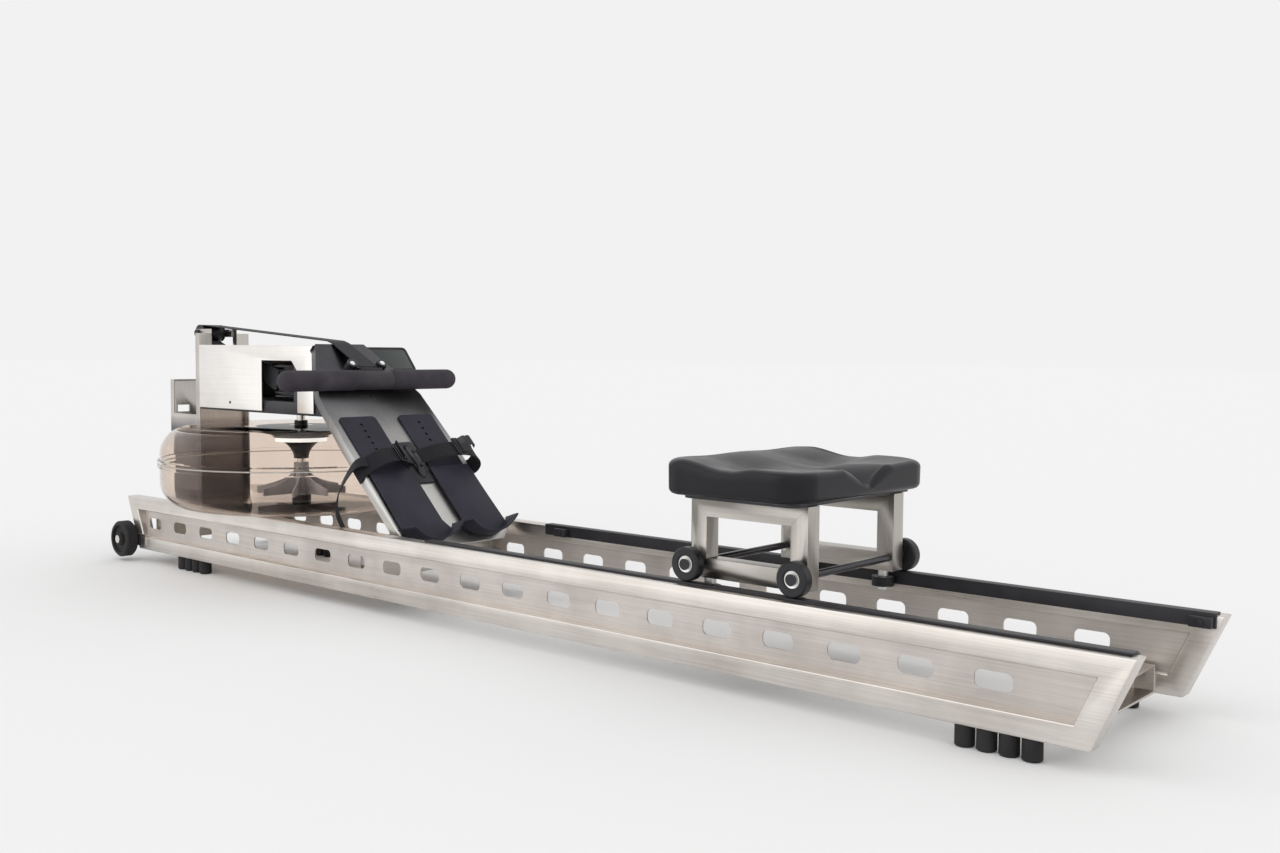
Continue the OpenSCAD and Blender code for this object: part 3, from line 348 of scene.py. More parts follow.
rail_steel = mitred_steel("rail_steel", (0.74, 0.70, 0.66), (0.52, 0.48, 0.44))
web_steel = brushed_steel("web_steel", (0.70, 0.65, 0.61), (0.50, 0.46, 0.43), ALONG_X, (0.38, 0.52))
# its last two colours are the painted shade below the tank's top
upright_steel_with_painted_shade = upright_brushed_with_painted_shade(
    "upright_steel_with_painted_shade", (0.62, 0.585, 0.55), (0.46, 0.43, 0.40), (0.20, 0.19, 0.20), (0.12, 0.11, 0.115)
)
cross_steel = brushed_steel("cross_steel", (0.70, 0.665, 0.62), (0.50, 0.465, 0.43), ALONG_Y)
cover_steel = brushed_steel("cover_steel", (0.88, 0.86, 0.835), (0.78, 0.75, 0.72), ALONG_X, (0.34, 0.46))
board_steel = board_brushed_with_painted_shade("board_steel")
seat_steel = seat_frame_steel("seat_steel", (0.56, 0.53, 0.49), (0.40, 0.375, 0.345))
bolt_steel = brushed_steel("bolt_steel", (0.72, 0.70, 0.67), (0.6, 0.58, 0.55), EVEN, (0.18, 0.3))
bearing_steel = brushed_steel("bearing_steel", (0.90, 0.89, 0.87), (0.80, 0.79, 0.77), EVEN, (0.36, 0.48))


def moulded(name, colour, rough, grain_scale=900.0, depth=0.00006, gloss=0.35):
    """Moulded plastic: a fine even grain and slightly uneven gloss."""
    f = Finish(name, colour, rough)
    skin = f.grain(grain_scale, 3.0)
    handled = f.grain(22.0, 3.0)
    lighter = tuple(min(1, c * 1.6 + 0.004) for c in colour)
    f.roughness(f.blend(skin, 0.4, handled, 0.6), rough - 0.07, rough + 0.08)
    f.colours(handled, (0.35, colour), (0.7, lighter))
    f.bump(skin, depth, 0.6)
    return f.set(Specular_IOR_Level=gloss).material


black_plastic = moulded("black_plastic", (0.012, 0.011, 0.015), 0.40)
footrest_black = moulded("footrest_black", (0.013, 0.012, 0.022), 0.55, 1400.0, 0.00008, 0.3)
tray_black = moulded("tray_black", (0.026, 0.025, 0.030), 0.45, 700.0)
track_black = moulded("track_black", (0.014, 0.013, 0.016), 0.46, 800.0)
rubber_black = moulded("rubber_black", (0.014, 0.013, 0.014), 0.72, 500.0, 0.0001)
wheel_black = moulded("wheel_black", (0.012, 0.012, 0.014), 0.38, 600.0)
gloss_black = moulded("gloss_black", (0.008, 0.008, 0.011), 0.20, 500.0, 0.00002, 0.5)
paddle_grey = moulded("paddle_grey", (0.36, 0.36, 0.39), 0.42)
white_ring_with_painted_glow = moulded("white_ring_with_painted_glow", (0.86, 0.86, 0.84), 0.35)
# painted glow: the white ring emits light, though it is no lamp
ring_painted_glow_shader = white_ring_with_painted_glow.node_tree.nodes["Principled BSDF"]
ring_painted_glow_shader.inputs["Emission Color"].default_value = (0.9, 0.97, 1.0, 1)
ring_painted_glow_shader.inputs["Emission Strength"].default_value = 0.9
neck_dark = moulded("neck_dark", (0.020, 0.018, 0.018), 0.40)
cap_pale = moulded("cap_pale", (0.66, 0.67, 0.68), 0.25)
foam_black = moulded("foam_black", (0.034, 0.029, 0.037), 0.80, 1500.0, 0.00018, 0.3)
sleeve_black = moulded("sleeve_black", (0.030, 0.026, 0.030), 0.62, 1200.0, 0.0001, 0.35)


def woven(name, dark, light, across, along, depth):
    """Webbing: ribs across the ribbon and rows along it, from the ribbon's own UV in metres."""
    f = Finish(name, dark, 0.75).from_uv()
    rows = f.waves(along, "X")
    ribs = f.waves(across, "Y")
    weave = f.times(rows, ribs)
    f.colours(weave, (0.15, dark), (0.8, light))
    f.roughness(weave, 0.86, 0.66)
    f.bump(weave, depth, 0.8)
    return f.set(Sheen_Weight=0.1, Specular_IOR_Level=0.25).material


webbing_black = woven("webbing_black", (0.006, 0.006, 0.009), (0.020, 0.019, 0.026), 90.0, 160.0, 0.00035)
webbing_grey = woven("webbing_grey", (0.008, 0.008, 0.011), (0.026, 0.025, 0.032), 90.0, 200.0, 0.00025)


def elastic():
    """Cord with a braided cover: pale threads with dark gaps."""
    f = Finish("elastic_cord", (0.2, 0.2, 0.2), 0.7)
    braid = f.cells(900.0)
    f.colours(braid, (0.2, (0.30, 0.30, 0.30)), (0.8, (0.09, 0.09, 0.10)))
    return f.bump(braid, 0.0002).material


def seat_skin():
    """Glossy moulded skin of the pad: very fine leather-like grain and a soft sheen."""
    f = Finish("seat_skin", (0.010, 0.010, 0.012), 0.3)
    pores = f.cells(1300.0)
    wear = f.grain(14.0, 3.0)
    f.roughness(wear, 0.30, 0.42)
    f.colours(wear, (0.35, (0.003, 0.003, 0.006)), (0.7, (0.007, 0.006, 0.010)))
    f.bump(pores, 0.00003, 0.5)
    return f.set(Coat_Weight=0.05, Coat_Roughness=0.22, Specular_IOR_Level=0.26).material


def clear_wall(name, colour, index, rough=0.02, clear=1.0):
    """Smoked clear plastic: light goes through it, bends by the index and takes the tint."""
    f = Finish(name, colour, rough)
    haze = f.grain(14.0, 3.0)
    f.roughness(haze, rough, rough + 0.03)
    f.colours(haze, (0.3, colour), (0.7, tuple(c * 0.97 for c in colour)))
    f.set(IOR=index, Transmission_Weight=clear)
    return f.material


tank_clear = clear_wall("tank_clear", (0.90, 0.82, 0.755), 1.15)
tank_top_clear = clear_wall("tank_top_clear", (0.90, 0.82, 0.755), 1.02)
gasket_grey = clear_wall("gasket_grey", (0.80, 0.76, 0.72), 1.45, 0.3, 0.6)


def display():
    """Dull dark display glass with a faint uneven tint."""
    f = Finish("display", (0.02, 0.028, 0.026), 0.2)
    haze = f.grain(30.0, 2.0)
    f.colours(haze, (0.3, (0.018, 0.026, 0.024)), (0.7, (0.028, 0.038, 0.034)))
    return f.roughness(haze, 0.12, 0.22).material


display_glass = display()
pad_skin = seat_skin()

FINISHES = (
    (rail_steel, "near_rail_frame far_rail_frame"),
    (web_steel, "rail_webs"),
    (track_black, "running_tracks"),
    (black_plastic, (
        "track_stops pulley_axle handle_pegs clamp_screws monitor_arm drive_hub top_pulley recoil_pulley "
        "bottom_bearing"
    )),
    (rubber_black, "rubber_feet tank_pads near_transport_wheel far_transport_wheel"),
    (cross_steel, "rear_crossmember board_crossmember front_crossmember"),
    (bolt_steel, "crossmember_bolts transport_axles paddle_shaft handle_core"),
    (tank_clear, "tank_lower_shell tank_upper_shell"),
    (gasket_grey, "tank_gasket"),
    (neck_dark, "tank_neck"),
    (white_ring_with_painted_glow, "bearing_ring"),
    (tray_black, "deck_tray seat_plate"),
    (upright_steel_with_painted_shade, "tower storage_post"),
    (cover_steel, "steel_cover"),
    (board_steel, "footboard"),
    (cap_pale, "peg_caps"),
    (footrest_black, "foot_plates near_heel_plate far_heel_plate"),
    (gloss_black, "strap_clamp foot_buckles monitor_housing seat_axles"),
    (webbing_black, "foot_straps"),
    (elastic(), "recoil_cord"),
    (paddle_grey, "paddle"),
    (webbing_grey, "hub_strap_winding rowing_strap"),
    (foam_black, "handle_grips"),
    (sleeve_black, "handle_clamp"),
    (display_glass, "monitor_screen"),
    (pad_skin, "seat_pad"),
    (seat_steel, "seat_frames"),
    (wheel_black, (
        "front_seat_wheels rear_seat_wheels near_front_guide_roller near_rear_guide_roller "
        "far_front_guide_roller far_rear_guide_roller"
    )),
    (bearing_steel, "guide_bolts"),
)
FINISH_OF = {name: material for material, names in FINISHES for name in names.split()}
BODY_OF = {n: b for b, members in frame["record"]["behaviour"]["bodies"].items() for n in members}


def wear(obj, material):
    obj.data.materials.clear()
    obj.data.materials.append(material)


for name, material in FINISH_OF.items():
    wear(nodes[name], material)


# Building pieces

def unit(v):
    return v / np.linalg.norm(v, axis=-1, keepdims=True)


def full_turn(steps):
    return np.linspace(0, 2 * np.pi, steps, endpoint=False)


def sideways(outline):
    """Unit normals of a closed outline, on the right of its direction."""
    step = np.roll(outline, -1, 0) - np.roll(outline, 1, 0)
    return unit(np.stack([step[:, 1], -step[:, 0]], -1))


def mesh_piece(name, points, faces, material, body=None, smooth_below=35.0, uv=None):
    """A mesh object from points and faces, smooth except over sharp edges. uv is one pair per point."""
    mesh = bpy.data.meshes.new(name)
    mesh.from_pydata(np.asarray(points, float).tolist(), [], faces)
    mesh.polygons.foreach_set("use_smooth", np.ones(len(mesh.polygons), bool))
    if uv is not None:
        corner = np.zeros(len(mesh.loops), np.int32)
        mesh.loops.foreach_get("vertex_index", corner)
        layer = mesh.uv_layers.new(name="ribbon")
        layer.data.foreach_set("uv", np.asarray(uv, np.float32)[corner].ravel())
    mesh.update()
    mesh.set_sharp_from_angle(angle=math.radians(smooth_below))
    obj = bpy.data.objects.new(name, mesh)
    scene.collection.objects.link(obj)
    wear(obj, material)
    if body:
        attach(obj, body)
    return obj


def stitched(rows, columns, rows_closed, columns_closed, outward=True):
    """Quads over a grid of points numbered row by row, wrapped where the grid closes on itself."""
    i = np.arange(rows if rows_closed else rows - 1)[:, None]
    j = np.arange(columns if columns_closed else columns - 1)[None, :]
    a, b = i * columns + j, i * columns + (j + 1) % columns
    c, d = ((i + 1) % rows) * columns + (j + 1) % columns, ((i + 1) % rows) * columns + j
    order = (a, b, c, d) if outward else (a, d, c, b)
    return np.stack(order, -1).reshape(-1, 4).tolist()


def end_caps(rows, columns, outward=True):
    """The first and the last row of a grid of points, each as one face."""
    first, last = list(range(columns)), list(range((rows - 1) * columns, rows * columns))
    return [first[::-1], last] if outward else [first, last[::-1]]


def length_along(points):
    return np.concatenate([[0], np.cumsum(np.linalg.norm(np.diff(points, axis=0), axis=1))])


def carried(name, middle, across, up, profile, material, body=None, closed=False, outward=True, smooth_below=35.0):
    """A closed profile carried along a path: point = middle + across * profile_x + up * profile_y.

    Capped at both ends unless the path closes. The UV is the length along the path and round the profile, in metres."""
    middle, across, up, profile = (np.asarray(v, float) for v in (middle, across, up, profile))
    points = middle[:, None] + across[:, None] * profile[None, :, :1] + up[:, None] * profile[None, :, 1:]
    rows, columns = points.shape[:2]
    faces = stitched(rows, columns, closed, True, outward)
    if not closed:
        faces += end_caps(rows, columns, outward)
    along, round_it = length_along(middle), length_along(profile)
    uv = np.stack(np.broadcast_arrays(along[:, None], round_it[None, :]), -1).reshape(-1, 2)
    return mesh_piece(name, points.reshape(-1, 3), faces, material, body, smooth_below, uv)


def turned(name, centre, profile, material, body=None, steps=192, smooth_below=30.0):
    """A closed profile (radius, height) turned about the upright line through centre: x = r cos t, y = r sin t."""
    t = full_turn(steps)
    out = np.stack([np.cos(t), np.sin(t), 0 * t], -1)
    middle = np.broadcast_to(np.asarray(centre, float), out.shape)
    up = np.broadcast_to(np.array([0, 0, 1.0]), out.shape)
    return carried(name, middle, out, up, profile, material, body, True, False, smooth_below)


def slab(name, outline, low, high, rounding, place, material, body, outward=True):
    """A flat piece whose outline stands from low to high. place turns its points into the frame.

    Its edges are rounded by rings set inwards along the outline's normals."""
    outline = np.asarray(outline, float)
    out = sideways(outline)
    lower = [(1, low), (0.3, low + 0.3 * rounding), (0, low + rounding)]
    upper = [(0, high - rounding), (0.3, high - 0.3 * rounding), (1, high)]
    rings = [
        np.column_stack([outline - out * rounding * share, np.full(len(outline), z)]) for share, z in lower + upper
    ]
    count = len(outline)
    faces = stitched(len(rings), count, False, True, outward) + end_caps(len(rings), count, outward)
    return mesh_piece(name, place(np.concatenate(rings)), faces, material, body, 40.0)


def rounded_box(cx, cy, long, wide, corner, steps=8):
    """Outline of a rounded rectangle about (cx, cy)."""
    t = np.linspace(0, np.pi / 2, steps)
    hx, hy = long / 2 - corner, wide / 2 - corner
    quarters = ((hx, hy), (-hx, hy), (-hx, -hy), (hx, -hy))
    return np.concatenate([
        np.stack([cx + x + corner * np.cos(t + k * np.pi / 2), cy + y + corner * np.sin(t + k * np.pi / 2)], -1)
        for k, (x, y) in enumerate(quarters)
    ])


def ribbon_profile(wide, thick, steps=8):
    """Outline of a flat ribbon with rounded edges, counted round once."""
    half = wide / 2 - thick / 2
    t = np.linspace(-np.pi / 2, np.pi / 2, 5)
    right = np.stack([half + thick / 2 * np.cos(t), thick / 2 * np.sin(t)], -1)
    top = np.stack([np.linspace(half, -half, steps + 2)[1:-1], np.full(steps, thick / 2)], -1)
    left = np.stack([-half - thick / 2 * np.cos(t), -thick / 2 * np.sin(t)], -1)
    low = np.stack([np.linspace(-half, half, steps + 2)[1:-1], np.full(steps, -thick / 2)], -1)
    return np.concatenate([right, top, left, low])


def smooth_path(knots, steps):
    """A Catmull-Rom curve through the knots, steps points for each span."""
    p = np.asarray(knots, float)
    p = np.concatenate([[2 * p[0] - p[1]], p, [2 * p[-1] - p[-2]]])
    t = np.linspace(0, 1, steps, endpoint=False)[:, None]
    spans = [
        0.5 * (2 * b + (c - a) * t + (2 * a - 5 * b + 4 * c - d) * t**2 + (3 * b - a - 3 * c + d) * t**3)
        for a, b, c, d in zip(p, p[1:], p[2:], p[3:])
    ]
    return np.concatenate(spans + [p[-2:-1]])


def tilted(origin, tilt, u, y, n):
    """Points u down a slope that starts at origin, y across it and n square above it."""
    u, y, n = np.broadcast_arrays(*(np.asarray(v, float) for v in (u, y, n)))
    c, s = math.cos(tilt), math.sin(tilt)
    return np.stack([origin[0] + u * c + n * s, origin[1] + y, origin[2] - u * s + n * c], -1)


def on_board(u, y, n):
    return tilted(BOARD_TOP, BOARD_TILT, u, y, n)


def softened(name, width):
    """A copy of a solid with its doubles merged and its edges rounded by width, in place of the node."""
    source = nodes[name]
    mesh = source.data.copy()
    bm = bmesh.new()
    bm.from_mesh(mesh)
    bmesh.ops.remove_doubles(bm, verts=bm.verts, dist=2e-6)
    bmesh.ops.dissolve_limit(bm, angle_limit=math.radians(0.6), verts=bm.verts, edges=bm.edges)
    for face in bm.faces:
        face.smooth = True
    bm.to_mesh(mesh)
    bm.free()
    obj = bpy.data.objects.new(name + "_edged", mesh)
    scene.collection.objects.link(obj)
    wear(obj, FINISH_OF[name])
    bevel = obj.modifiers.new("rounded_edges", "BEVEL")
    bevel.width = width
    bevel.segments = 2
    bevel.limit_method = "ANGLE"
    bevel.angle_limit = math.radians(30.0)
    bevel.harden_normals = True
    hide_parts(name)
    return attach(obj, BODY_OF[name])


# Rails, head and seat structure with softened edges

for name, width in {
    "near_rail_frame": 0.0020, "far_rail_frame": 0.0020, "tower": 0.0008, "storage_post": 0.0008,
    "steel_cover": 0.0007, "seat_frames": 0.0011, "deck_tray": 0.0006, "rear_crossmember": 0.0008,
    "board_crossmember": 0.0008, "front_crossmember": 0.0008, "handle_clamp": 0.0012,
    "running_tracks": 0.0006, "track_stops": 0.001,
    "footboard": 0.0006, "monitor_arm": 0.001, "seat_plate": 0.0006,
}.items():
    softened(name, width)


# Seat pad

def eased(share):
    """3 s^2 - 2 s^3 of a share kept between 0 and 1."""
    s = np.clip(share, 0, 1)
    return s * s * (3 - 2 * s)


def pad_top(x, y):
    """Height of the pad: high front edge, a dip half way, a slight rise behind it and a dish for each thigh.

    Notch in the rear edge, as a share of its depth: (1 - t)^1.4, t being the distance from the middle line, rounded
    off near it, over the notch's half width."""
    u, v = 2 * x / PAD_LONG, np.abs(2 * y / PAD_WIDE)
    lip = 0.0105
    rise, fall = 0.0045 * eased((u + 0.02) / 0.36), 0.0015 * eased((u - 0.4) / 0.6)
    side = PAD_HIGH - lip + lip * eased((-0.12 - u) / 0.72) + rise - fall
    dish = 0.009 * np.exp(-(((v - 0.45) / 0.28) ** 2)) * np.exp(-((u / 0.75) ** 2))
    notch_half, notch_round = 0.054, 0.006
    t = (np.sqrt(y * y + notch_round**2) - notch_round) / notch_half
    notch = (side - 0.0135) * np.clip(1 - t, 0, 1) ** 1.4 * eased((u + 0.5) / 1.4)
    return side - dish - notch


def pad_outline(inset, steps):
    """A rectangle with rounded corners, less the inset, its points evenly spread along it."""
    hx, hy = PAD_LONG / 2 - inset, PAD_WIDE / 2 - inset
    rear, front = 0.044 - inset, 0.030 - inset
    t = np.linspace(0, np.pi / 2, 17)
    knots = []
    for k, (sx, sy, r) in enumerate(((1, 1, rear), (-1, 1, front), (-1, -1, front), (1, -1, rear))):
        a = t + k * np.pi / 2
        knots.append(np.stack([sx * (hx - r) + r * np.cos(a), sy * (hy - r) + r * np.sin(a)], -1))
    knots = np.concatenate(knots)
    closed = np.concatenate([knots, knots[:1]])
    length = length_along(closed)
    at = np.linspace(0, length[-1], steps, endpoint=False)
    return np.stack([np.interp(at, length, closed[:, 0]), np.interp(at, length, closed[:, 1])], -1)


# Rings of the pad's rounded lower edge: how far inside the outline, and how high
PAD_FOOT = (
    (0.0140, 0.0), (0.0075, 0.0003), (0.0052, 0.0010), (0.0034, 0.0022), (0.0020, 0.0038), (0.0010, 0.0056),
    (0.0005, 0.0074),
)


def seat_cushion():
    """Rings from the flat underside, round the lower edge, up the side, round the rim and in over the top.

    Rim: inset r(1 - cos a), height h - r + r sin a. Top: the rim scaled towards the middle."""
    steps = 416
    rings = [np.column_stack([pad_outline(inset, steps), np.full(steps, z)]) for inset, z in PAD_FOOT]
    edge = pad_outline(0.0, steps)
    high = pad_top(edge[:, 0], edge[:, 1])
    r = np.minimum(0.0095, high * 0.36)
    low = np.minimum(0.0085, high - r - 0.0005)
    for share, inset in ((0.0, 0.0004), (0.25, 0.0003), (0.5, 0.0002), (0.75, 0.0001), (1.0, 0.0)):
        rings.append(np.column_stack([pad_outline(inset, steps), low + (high - r - low) * share]))
    for a in np.radians([15, 30, 45, 60, 75, 90]):
        scale = 1 - r * (1 - np.cos(a)) / (PAD_LONG / 2)
        rings.append(np.column_stack([edge * scale[:, None], high - r + r * np.sin(a)]))
    rim = rings[-1][:, :2]
    for k in np.linspace(1, 0, 44)[1:-1]:
        inner = rim * k
        rings.append(np.column_stack([inner, pad_top(inner[:, 0], inner[:, 1])]))
    count = len(rings)
    faces = stitched(count, steps, False, True, True)
    points = np.concatenate(rings + [[[0, 0, pad_top(np.array(0.0), np.array(0.0))], [0, 0, 0]]])
    j = np.arange(steps)
    last = (count - 1) * steps
    faces += np.stack([last + j, last + (j + 1) % steps, np.full(steps, count * steps)], -1).tolist()
    faces += np.stack([(j + 1) % steps, j, np.full(steps, count * steps + 1)], -1).tolist()
    pad = mesh_piece("seat_cushion", points + [SEAT_X, 0, PAD_LOW], faces, pad_skin, "seat", 50.0)
    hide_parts("seat_pad")


seat_cushion()


# Rowing strap

def rowing_ribbon():
    """Ribbon from the handle over the board's top edge, back to the pulley, half round it, and to the drum.

    It makes a quarter turn on its last run: roll = 90 degrees times k^2 (3 - 2k), k being the run's share."""
    tail = HANDLE + [-0.008, 0, 0.0236]
    edge = np.array([HALF_LENGTH - 1.5395, 0, 0.446])
    top, low = PULLEY + [0, 0, PULLEY_TURN], PULLEY - [0, 0, PULLEY_TURN]
    drum = np.array([TANK_X - 0.010, -0.042 - STRAP_THICK - 0.0003, DRUM_Z])
    slope = math.degrees(math.atan2(top[2] - edge[2], edge[0] - top[0]))
    bend = 0.006
    first = tail + (edge - tail) * np.linspace(0, 1, 25)[:, None]
    first = first[np.linalg.norm(first - edge, axis=1) > bend]
    second = edge + (top - edge) * np.linspace(0, 1, 60)[:, None]
    second = second[np.linalg.norm(second - edge, axis=1) > bend]
    a = np.radians(np.linspace(90 + slope, 270, 40))
    arc = PULLEY + PULLEY_TURN * np.stack([np.cos(a), 0 * a, np.sin(a)], -1)
    second = second[second[:, 0] > arc[0, 0] + 0.003]
    k = np.linspace(0, 1, 41)[1:, None]
    middle = np.concatenate([first, second, arc, low + (drum - low) * k])
    along = unit(np.gradient(middle, axis=0))
    flat = np.zeros(len(first) + len(second) + len(arc))
    roll = np.concatenate([flat, np.pi / 2 * (k * k * (3 - 2 * k))[:, 0]])
    side = np.stack([0 * roll, np.ones_like(roll), 0 * roll], -1)
    side = unit(side - along * np.sum(side * along, -1, keepdims=True))
    face = np.cross(along, side)
    across = side * np.cos(roll)[:, None] - face * np.sin(roll)[:, None]
    up = side * np.sin(roll)[:, None] + face * np.cos(roll)[:, None]
    strap = carried("rowing_ribbon", middle, across, up, ribbon_profile(STRAP_WIDE, STRAP_THICK), webbing_grey)
    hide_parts("rowing_strap")
    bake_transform(strap)


rowing_ribbon()


# Tank

def arc_points(cx, cz, r, start, end):
    a = np.radians(np.linspace(start, end, 25))
    return np.stack([cx + r * np.cos(a), cz + r * np.sin(a)], -1)


def tank_walls():
    """Both shells as turned profiles with rounded rims: outer wall up, inner wall back.

    They are 5 mm thick about the axis and 2.2 mm outside, and meet in a flange at the seam."""
    r, thick, wall, rim = TANK_R, 0.005, 0.0022, 0.052
    flange, lip = r + 0.004, r + 0.003
    step, thin = 0.085, 0.120
    lower = np.concatenate([
        [[0.0005, TANK_LOW]],
        arc_points(r - rim, TANK_LOW + rim, rim, -90, 0),
        [[r, TANK_SEAM - 0.0085], [r + 0.0012, TANK_SEAM - 0.007], [lip, TANK_SEAM - 0.007],
         [flange, TANK_SEAM - 0.006], [flange, TANK_SEAM - 0.0012], [r - wall, TANK_SEAM - 0.0012]],
        arc_points(r - rim, TANK_LOW + rim, rim - wall, 0, -90),
        [[thin, TANK_LOW + wall], [step, TANK_LOW + thick], [0.0005, TANK_LOW + thick]],
    ])
    upper = np.concatenate([
        [[0.022, TANK_HIGH - thick], [step, TANK_HIGH - thick], [thin, TANK_HIGH - wall]],
        arc_points(r - rim, TANK_HIGH - rim, rim - wall, 90, 0),
        [[r - wall, TANK_SEAM + 0.0012], [flange, TANK_SEAM + 0.0012], [flange, TANK_SEAM + 0.006],
         [lip, TANK_SEAM + 0.007], [r + 0.0012, TANK_SEAM + 0.007], [r, TANK_SEAM + 0.0085]],
        arc_points(r - rim, TANK_HIGH - rim, rim, 0, 90),
        [[0.022, TANK_HIGH]],
    ])
    for name, profile in (("lower", lower), ("upper", upper)):
        shell = turned("tank_" + name + "_wall", (TANK_X, 0, 0), profile, tank_clear, "frame")
        if name == "upper":
            shell.data.materials.append(tank_top_clear)
            middle = np.zeros(3 * len(shell.data.polygons), np.float32)
            shell.data.polygons.foreach_get("center", middle)
            in_lid = middle[2::3] > TANK_HIGH - 0.007
            shell.data.polygons.foreach_set("material_index", in_lid.astype(np.int32))
        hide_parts("tank_" + name + "_shell")


def tank_neck_flare():
    """The neck inside the tank, a turned trumpet under the lid, and a sleeve round the shaft above it.

    Its radius grows from 14 mm at the foot with the 2.2nd power of the height to 84 mm under the lid."""
    k = np.linspace(0, 1, 25)
    foot, lid, bore, sleeve = 0.221, TANK_HIGH - 0.005, 0.0105, 0.0125
    outer = np.stack([0.014 + 0.070 * k**2.2, foot + (lid - foot) * k], -1)
    above = [[sleeve, lid], [sleeve, lid + 0.013], [sleeve - 0.001, lid + 0.014], [bore, lid + 0.014]]
    profile = np.concatenate([[[bore, foot]], outer, above])
    neck = turned("tank_neck_flare", (TANK_X, 0, 0), profile, neck_dark, "frame", steps=96)
    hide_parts("tank_neck")


tank_walls()
tank_neck_flare()


# Foot straps, buckles, heel plates and the strap clamp

def board_ribbon(name, knots, wide, lead=None):
    """A ribbon along knots, its width down the footboard, or turning towards lead where one is given."""
    path = smooth_path(knots, 8)
    along = unit(np.gradient(path, axis=0))
    down = np.array([math.cos(BOARD_TILT), 0, -math.sin(BOARD_TILT)])
    if lead is not None:
        share = np.linspace(0, 1, len(path))[:, None] ** 0.6
        down = unit(down * (1 - share) + np.asarray(lead, float) * share)
    across = unit(down - along * np.sum(down * along, -1, keepdims=True))
    profile = ribbon_profile(wide, WEBBING_THICK)
    piece = carried(name, path, across, np.cross(across, along), profile, webbing_black, "frame", outward=False)
    return piece


def board_points(points):
    return on_board(*np.array(points).T)


def foot_ribbons():
    """Each strap leaves the clamp, lies over the foot plate and goes round the board's edge.

    The near one has a loose tail, the far one a loop and a loose end."""
    wide, loose = 0.032, 0.022
    near = board_ribbon("near_foot_ribbon", board_points([
        (0.292, -0.0095, 0.008), (0.293, -0.024, 0.013), (0.294, -0.042, 0.020), (0.297, -0.064, 0.025),
        (0.301, -0.086, 0.023), (0.305, -0.104, 0.014), (0.307, -0.1155, 0.004), (0.308, -0.1192, -0.004),
        (0.308, -0.1195, -0.016)]), wide)
    board_ribbon("far_foot_ribbon", board_points([
        (0.292, 0.0095, 0.008), (0.293, 0.024, 0.013), (0.293, 0.042, 0.020), (0.294, 0.064, 0.025),
        (0.295, 0.086, 0.026), (0.298, 0.106, 0.026), (0.303, 0.124, 0.021), (0.309, 0.133, 0.009),
        (0.312, 0.131, -0.005), (0.310, 0.122, -0.014), (0.308, 0.1185, -0.018)]), wide)
    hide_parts("foot_straps")
    board_ribbon("near_strap_tail", [
        (-0.2733, -0.1080, 0.2423), (-0.2790, -0.1195, 0.2410), (-0.2880, -0.1262, 0.2330), (-0.3060, -0.1290, 0.2120),
        (-0.3240, -0.1290, 0.1880), (-0.3330, -0.1275, 0.1640), (-0.3300, -0.1262, 0.1450), (-0.3180, -0.1255, 0.1270),
    ], loose, lead=(0.62, -0.78, 0.0))
    board_ribbon("far_strap_end", board_points([
        (0.292, 0.078, 0.0275), (0.289, 0.092, 0.029), (0.284, 0.108, 0.031), (0.279, 0.124, 0.029),
        (0.275, 0.136, 0.022), (0.273, 0.142, 0.013)]), loose)


def buckles():
    """Ladder buckles: a rounded body, three ribs and a lever on each strap."""
    for name, y, lean, centre, side in (("near", -0.040, -0.25, 0.0205, -1), ("far", 0.090, -0.10, 0.0265, 1)):

        def place(p, y=y, c=math.cos(lean), s=math.sin(lean), centre=centre):
            return on_board(BOARD_STRAP + p[:, 0], y + p[:, 1] * c - p[:, 2] * s, centre + p[:, 1] * s + p[:, 2] * c)

        def lever_place(p, place=place, side=side):
            """Lever points stand up from the body's outer edge at 50 degrees."""
            c, s = math.cos(math.radians(50)), math.sin(math.radians(50))
            out, up = 0.004 + p[:, 1] * c - p[:, 2] * s, 0.004 + p[:, 1] * s + p[:, 2] * c
            return place(np.column_stack([p[:, 0], side * out, up]))

        outline = rounded_box(0, 0, 0.040, 0.019, 0.004)
        body = slab(name + "_buckle_body", outline, 0.0008, 0.0040, 0.001, place, gloss_black, "frame")
        if y < 0:
            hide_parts("foot_buckles")
        for k in (-1, 0, 1):
            rib = rounded_box(0, 0.0058 * k, 0.036, 0.0026, 0.0012)
            slab("%s_buckle_rib_%d" % (name, k + 2), rib, 0.0036, 0.0066, 0.0006, place, gloss_black, "frame")
        lever = rounded_box(0, 0.007, 0.034, 0.016, 0.005)
        slab(name + "_buckle_lever", lever, 0.0, 0.0022, 0.0007, lever_place, gloss_black, "frame", side > 0)


# Section of the heel cup's wall: outwards from the sole's end, and up
CUP_WALL = (
    (-0.0035, 0.0), (0.0, 0.0), (0.0036, 0.014), (0.0085, 0.031), (0.0078, 0.0335), (0.0058, 0.0335), (0.0005, 0.015),
)


